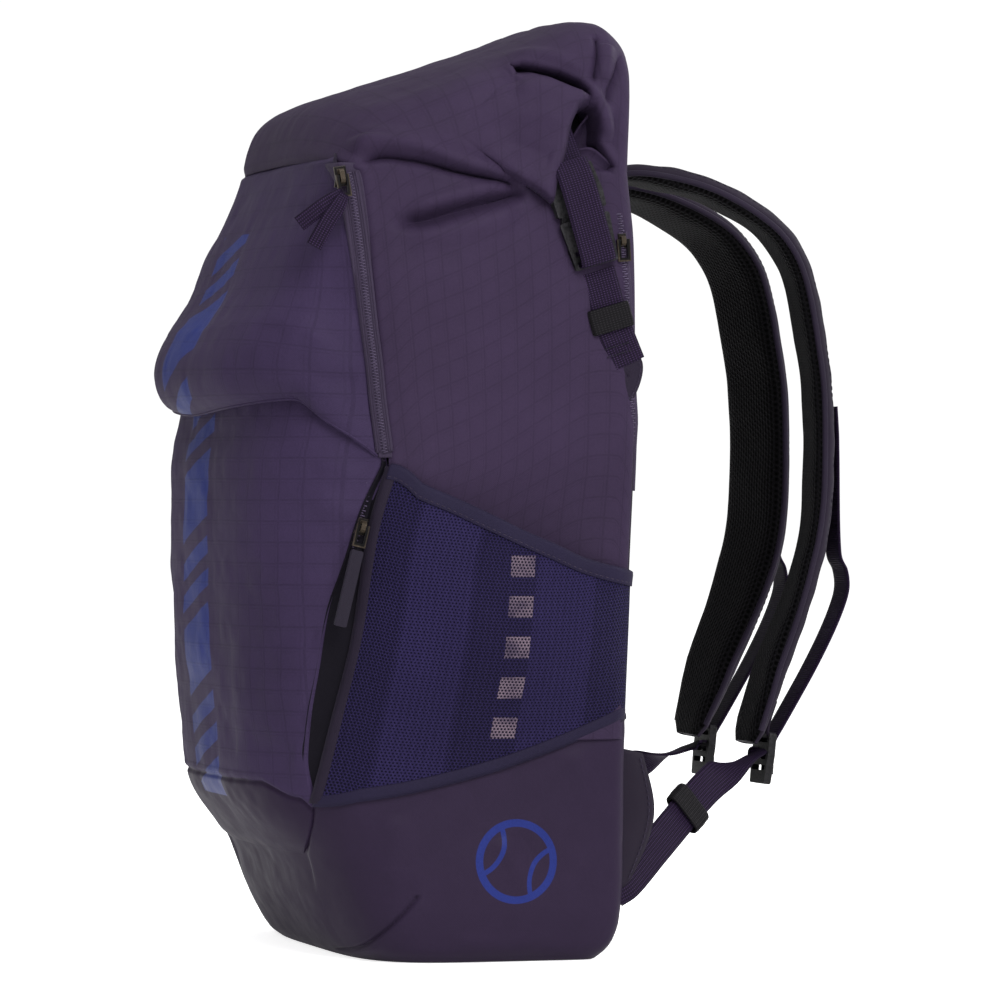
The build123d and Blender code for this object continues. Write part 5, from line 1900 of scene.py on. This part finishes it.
PUFF_CAP = 4.0  # most that inflating may move a point
PUFF_FRAMES = 20


def inflate(obj):
    """Puffs a cushion with cloth under pressure; the capped movement is baked into its mesh."""
    source = obj.data
    coarse = obj.copy()
    coarse.data = source.copy()
    scene.collection.objects.link(coarse)
    remesh = coarse.modifiers.new("vox", "REMESH")
    remesh.mode = "VOXEL"
    remesh.voxel_size = 0.005
    graph = bpy.context.evaluated_depsgraph_get()
    cloth_mesh = bpy.data.meshes.new_from_object(coarse.evaluated_get(graph))
    bpy.data.objects.remove(coarse)
    sim = bpy.data.objects.new("sim_" + obj.name, cloth_mesh)
    scene.collection.objects.link(sim)
    rest = read_vectors(cloth_mesh.vertices)
    # pin the rim that is sewn down
    group = sim.vertex_groups.new(name="pin")
    back = back_y(np.clip(rest[:, 0] * 1000, -130, 130), rest[:, 2] * 1000) / 1000
    group.add([int(i) for i in np.nonzero(rest[:, 1] < back + 0.0012)[0]], 1.0, "REPLACE")
    cloth = sim.modifiers.new("cloth", "CLOTH")
    settings = cloth.settings
    settings.quality = 5
    settings.mass = 0.25
    settings.tension_stiffness = 12
    settings.compression_stiffness = 12
    settings.bending_stiffness = 0.4
    settings.vertex_group_mass = "pin"
    settings.use_pressure = True
    settings.uniform_pressure_force = 4.0
    settings.effector_weights.gravity = 0.0
    cloth.point_cache.frame_start = 1
    cloth.point_cache.frame_end = PUFF_FRAMES
    for i in range(1, PUFF_FRAMES + 1):
        scene.frame_set(i)
    graph = bpy.context.evaluated_depsgraph_get()
    moved = read_vectors(sim.evaluated_get(graph).to_mesh().vertices) - rest
    size = np.linalg.norm(moved, axis=1, keepdims=True)
    moved = moved * np.minimum(1.0, PUFF_CAP * MM / np.maximum(size, 1e-9))

    # carry the movement over from the nearest simulated points
    tree = KDTree(len(rest))
    for i, point in enumerate(rest):
        tree.insert(point, i)
    tree.balance()
    points = read_vectors(source.vertices)
    shift = np.zeros_like(points)
    for i, point in enumerate(points):
        near = tree.find_n(point, 6)
        weights = np.array([1.0 / (distance + 1e-4) for _, _, distance in near])
        found = moved[[index for _, index, _ in near]]
        shift[i] = (found * weights[:, None]).sum(0) / weights.sum()
    source.vertices.foreach_set("co", (points + shift).ravel())
    source.update()
    bpy.data.objects.remove(sim)
    scene.frame_set(1)


def strap_root(name, side):
    """Boxed and crossed patch of cloth at the top of the back."""
    x, z = np.meshgrid(np.linspace(27, 74, 30), np.linspace(421, 446, 20), indexing="ij")
    dome = (1 - ((z - 433.5) / 12.5) ** 4) * (1 - ((x - 50.5) / 23.5) ** 6)
    grid = np.stack([x, back_y(x, z) + 2.0 + 1.4 * dome, z], -1)
    ride(sheet("strap_root_" + name, on_side(grid, side), STRAP_CLOTH, thick=1.6, offset=0.0,
               flip=side > 0))
    box = np.array([(30, 424), (71, 424), (71, 443), (30, 443), (30, 424), (71, 443)], float)
    x, z = np.vstack([np.linspace(a, b, 12) for a, b in zip(box[:-1], box[1:])]).T
    seam = on_side(np.stack([x, back_y(x, z) + 4.1, z], -1), side)
    ride(stitches("strap_root_stitch_" + name, seam, (0, 1, 0), THREAD,
                  length=2.4, gap=1.2, radius=0.3))


# (x, z) folds. Columns: width, height, end fades, skew, points
COLLAR_FOLDS = [
    (6.0, 2.0, (0.2, 0.2), 0, [(-112, 462), (-50, 471), (24, 467), (108, 474)]),
    (4.5, -1.8, (0.2, 0.2), 0, [(-96, 484), (-30, 480), (40, 485), (98, 480)]),
]
COLLAR_START = 296  # column of the shell where the collar begins


def collar_back(cloth):
    """Back of the collar, between the top of the back panel and the crest of the roll."""
    edge = cloth[-1, COLLAR_START : cloth.shape[1] - COLLAR_START]
    rows = np.unique(np.round(np.linspace(0, len(edge) // 2 - 1, 120)).astype(int))
    right, left = edge[rows], edge[len(edge) - 1 - rows]
    share = np.linspace(0, 1, 110)
    grid = right[:, None] * (1 - share)[None, :, None] + left[:, None] * share[None, :, None]
    x, _, z = np.moveaxis(grid, -1, 0)
    inside = np.sin(np.pi * share)[None] ** 0.5
    between = ease(z, 438, 462) * ease(right[-1, 2] - z, 0, 10)
    relief = crumple(grid, 2.4, seed=77) + folds(x, z, COLLAR_FOLDS)
    grid[..., 1] += -0.4 + (1.2 + relief) * inside * between
    obj = sheet("collar_back", grid, RIPSTOP, thick=1.3, uv=(x, z))
    face_toward(obj, len(obj.data.polygons) // 2, (0, 1, 0))
    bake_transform(obj)


def haul_loop():
    """Carrying loop with a grip sleeve round its middle."""
    half = np.array([
        (-37, 83.5, 444), (-37, 83.4, 452), (-35.5, 83.2, 462), (-29, 83, 472),
        (-16, 82.8, 476.5), (0, 82.7, 477.5),
    ])
    path = smooth_path(np.vstack([half, on_side(half[-2::-1], -1)]), 200)
    across = np.cross(unit(np.gradient(path, axis=0)), np.array([0, 1.0, 0]))
    web = ribbon("haul_web", path, across, WEBBING, width=17.0, thick=2.2)
    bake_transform(web)
    grip = smooth_path([
        (-20, 82.8, 475.6), (-10, 82.75, 477.2), (0, 82.7, 477.6), (10, 82.75, 477.2),
        (20, 82.8, 475.6),
    ], 40)
    ride(tube("haul_grip", grip, 1.0, STRAP_CLOTH, around=20, squash=(2.9, 9.4), up=(0, 1, 0)),
         "haul")


def back_binding():
    """Binding across the top of the back panel, over the strap roots."""
    x = np.linspace(-112, 112, 90)
    z = np.full(90, 447.0)
    path = np.stack([x, back_y(x, z) + 1.2, z], -1)
    tape("back_top_binding", path, (0, 1, 0), 9.0, BINDING, thick=1.2, lift=1.6)


# ==== CAD parts ===========================================================================
# hard parts stay and take these materials
HARD_PARTS = [
    (ACETAL, """buckle_sockets buckle_plugs buckle_arm_right_front buckle_arm_right_rear
        buckle_arm_left_front buckle_arm_left_rear ladder_lock_right ladder_lock_left"""),
    (METAL, """upper_zip_slider lower_zip_slider laptop_zip_slider
        upper_zip_ring lower_zip_ring laptop_zip_ring"""),
    (DARK_THREAD, "lower_zip_tab"),
]
# soft parts are carried by the meshes above
SOFT_PARTS = """
    anchor_tabs back_pads back_panel base_board base_boot base_foam collar compression_tails
    compression_webbings frame_sheet front_wall haul_loop laptop_sleeve laptop_zip_tape
    lower_pocket lower_webbing_left lower_webbing_right lower_zip_tape mesh_pocket_left
    mesh_pocket_right pocket_bindings pocket_gusset roll roll_stiffener roll_webbings
    side_keeper_left side_keeper_right side_panel_left side_panel_right strap_cover_left
    strap_cover_right strap_foam_left strap_foam_right strap_keeper_left strap_keeper_right
    strap_mesh_left strap_mesh_right strap_webbing_left strap_webbing_right strap_wing_left
    strap_wing_right strap_roots upper_pocket upper_zip_tails upper_zip_tape
""".split()


def dress_cad():
    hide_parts(*SOFT_PARTS)
    for mat, names in HARD_PARTS:
        for name in names.split():
            slots = frame["nodes"][name].data.materials
            slots.clear()
            slots.append(mat)


# ==== floor, lights, world and camera =====================================================
# name, metres toward the camera, metres to its right, height, target height, size, watts
LIGHTS = [
    ("key", 2.2, 1.0, 1.9, 0.25, 1.5, 104.0),
    ("top", 0.2, -0.2, 2.2, 0.3, 1.8, 26.0),
    ("fill", 2.6, -0.2, 0.8, 0.25, 1.8, 9.0),
    ("rim", -1.2, 1.6, 1.4, 0.3, 1.2, 18.0),
    ("back", -0.7, 2.6, 1.5, 0.25, 1.6, 42.0),
    ("rim_left", -0.9, -1.9, 1.2, 0.28, 1.2, 4.0),
]


def floor():
    """Pale floor, brighter to the camera than to the scene."""
    nodes = Nodes("floor")
    shade = nodes.ramp(nodes.noise(3.0), 0.3, 0.7, 0.985, 1.015)
    mat = nodes.finish(nodes.tint(srgb(238, 238, 238), shade), 0.75)
    nodes.surface.inputs["Emission Color"].default_value = (1, 1, 1, 1)
    seen_directly = nodes.add("ShaderNodeLightPath").outputs["Is Camera Ray"]
    glow = nodes.math("MULTIPLY_ADD", seen_directly, 0.35, 0.4)
    nodes.put(nodes.surface.inputs["Emission Strength"], glow)
    ticks = np.linspace(-14000, 14000, 9)
    x, y = np.meshgrid(ticks, ticks, indexing="ij")
    points = np.stack([x.ravel(), y.ravel(), np.zeros(81)], -1)
    make("floor_plane", points, grid_faces(9, 9), mat, np.zeros((81, 2)))


def aim(obj, direction):
    obj.rotation_euler = direction.to_track_quat("-Z", "Y").to_euler()


def light(name, toward, right, height, target_z, size, power):
    data = bpy.data.lights.new(name, "AREA")
    data.shape = "RECTANGLE"
    data.size = size
    data.size_y = size
    data.energy = power
    obj = bpy.data.objects.new(name, data)
    scene.collection.objects.link(obj)
    place = CAM_TOWARD * toward + CAM_RIGHT * right + np.array([0, 0, height])
    obj.location = place.tolist()
    aim(obj, Vector((0, 0, target_z)) - Vector(place.tolist()))


def world():
    """White surroundings, brighter to the camera than to the scene."""
    studio = bpy.data.worlds.new("studio")
    studio.use_nodes = True
    tree = studio.node_tree
    background = tree.nodes["Background"]
    background.inputs["Color"].default_value = (1.0, 1.0, 1.0, 1)
    # resting value; the link below drives it
    background.inputs["Strength"].default_value = 0.26
    rays = tree.nodes.new("ShaderNodeLightPath")
    strength = tree.nodes.new("ShaderNodeMath")
    strength.operation = "MULTIPLY_ADD"
    tree.links.new(rays.outputs["Is Camera Ray"], strength.inputs[0])
    strength.inputs[1].default_value = 0.58
    strength.inputs[2].default_value = 0.46
    tree.links.new(strength.outputs[0], background.inputs["Strength"])
    scene.world = studio


def camera():
    data = bpy.data.cameras.new("camera")
    data.sensor_width = CAM_SENSOR
    data.lens = CAM_LENS
    data.clip_end = 60.0
    obj = bpy.data.objects.new("camera", data)
    scene.collection.objects.link(obj)
    obj.location = (CAM_AT * MM).tolist()
    aim(obj, Vector((-CAM_TOWARD).tolist()))
    scene.camera = obj
    scene.view_settings.view_transform = "Standard"


# ==== build ===============================================================================
shell, cloth, cloth_base = side_and_hood()
upper_panel = upper_pocket()
lower_panel = lower_pocket()
boot_edge = boot()
gussets()
upper_zip()
lower_zip()
laptop_zip(cloth, cloth_base)
pocket_piping(upper_panel, lower_panel)
mesh_pockets()
boot_seam(*boot_edge)
inner_folds()
for side_name, side_sign in SIDES:
    compression(side_name, side_sign)
pull_tail("pull_tail_a", (146, -89, 419.5), (143, -112.5, 402), across=(0, 0.6, -0.8))
pull_tail("pull_tail_b", (146.6, -88, 418.5), (146, -105, 390), across=(0.05, 0.86, -0.51))
for side_name, side_sign in SIDES:
    for build in (strap_pad, strap_edges, strap_webbing, lower_webbing, strap_wing):
        build(side_name, side_sign)
back_cloth()
for pad in [back_pad(pad_name, outline) for pad_name, outline in PADS.items()]:
    inflate(pad)
for side_name, side_sign in SIDES:
    strap_root(side_name, side_sign)
collar_back(cloth)
haul_loop()
back_binding()
dress_cad()

floor()
for row in LIGHTS:
    light(*row)
world()
camera()
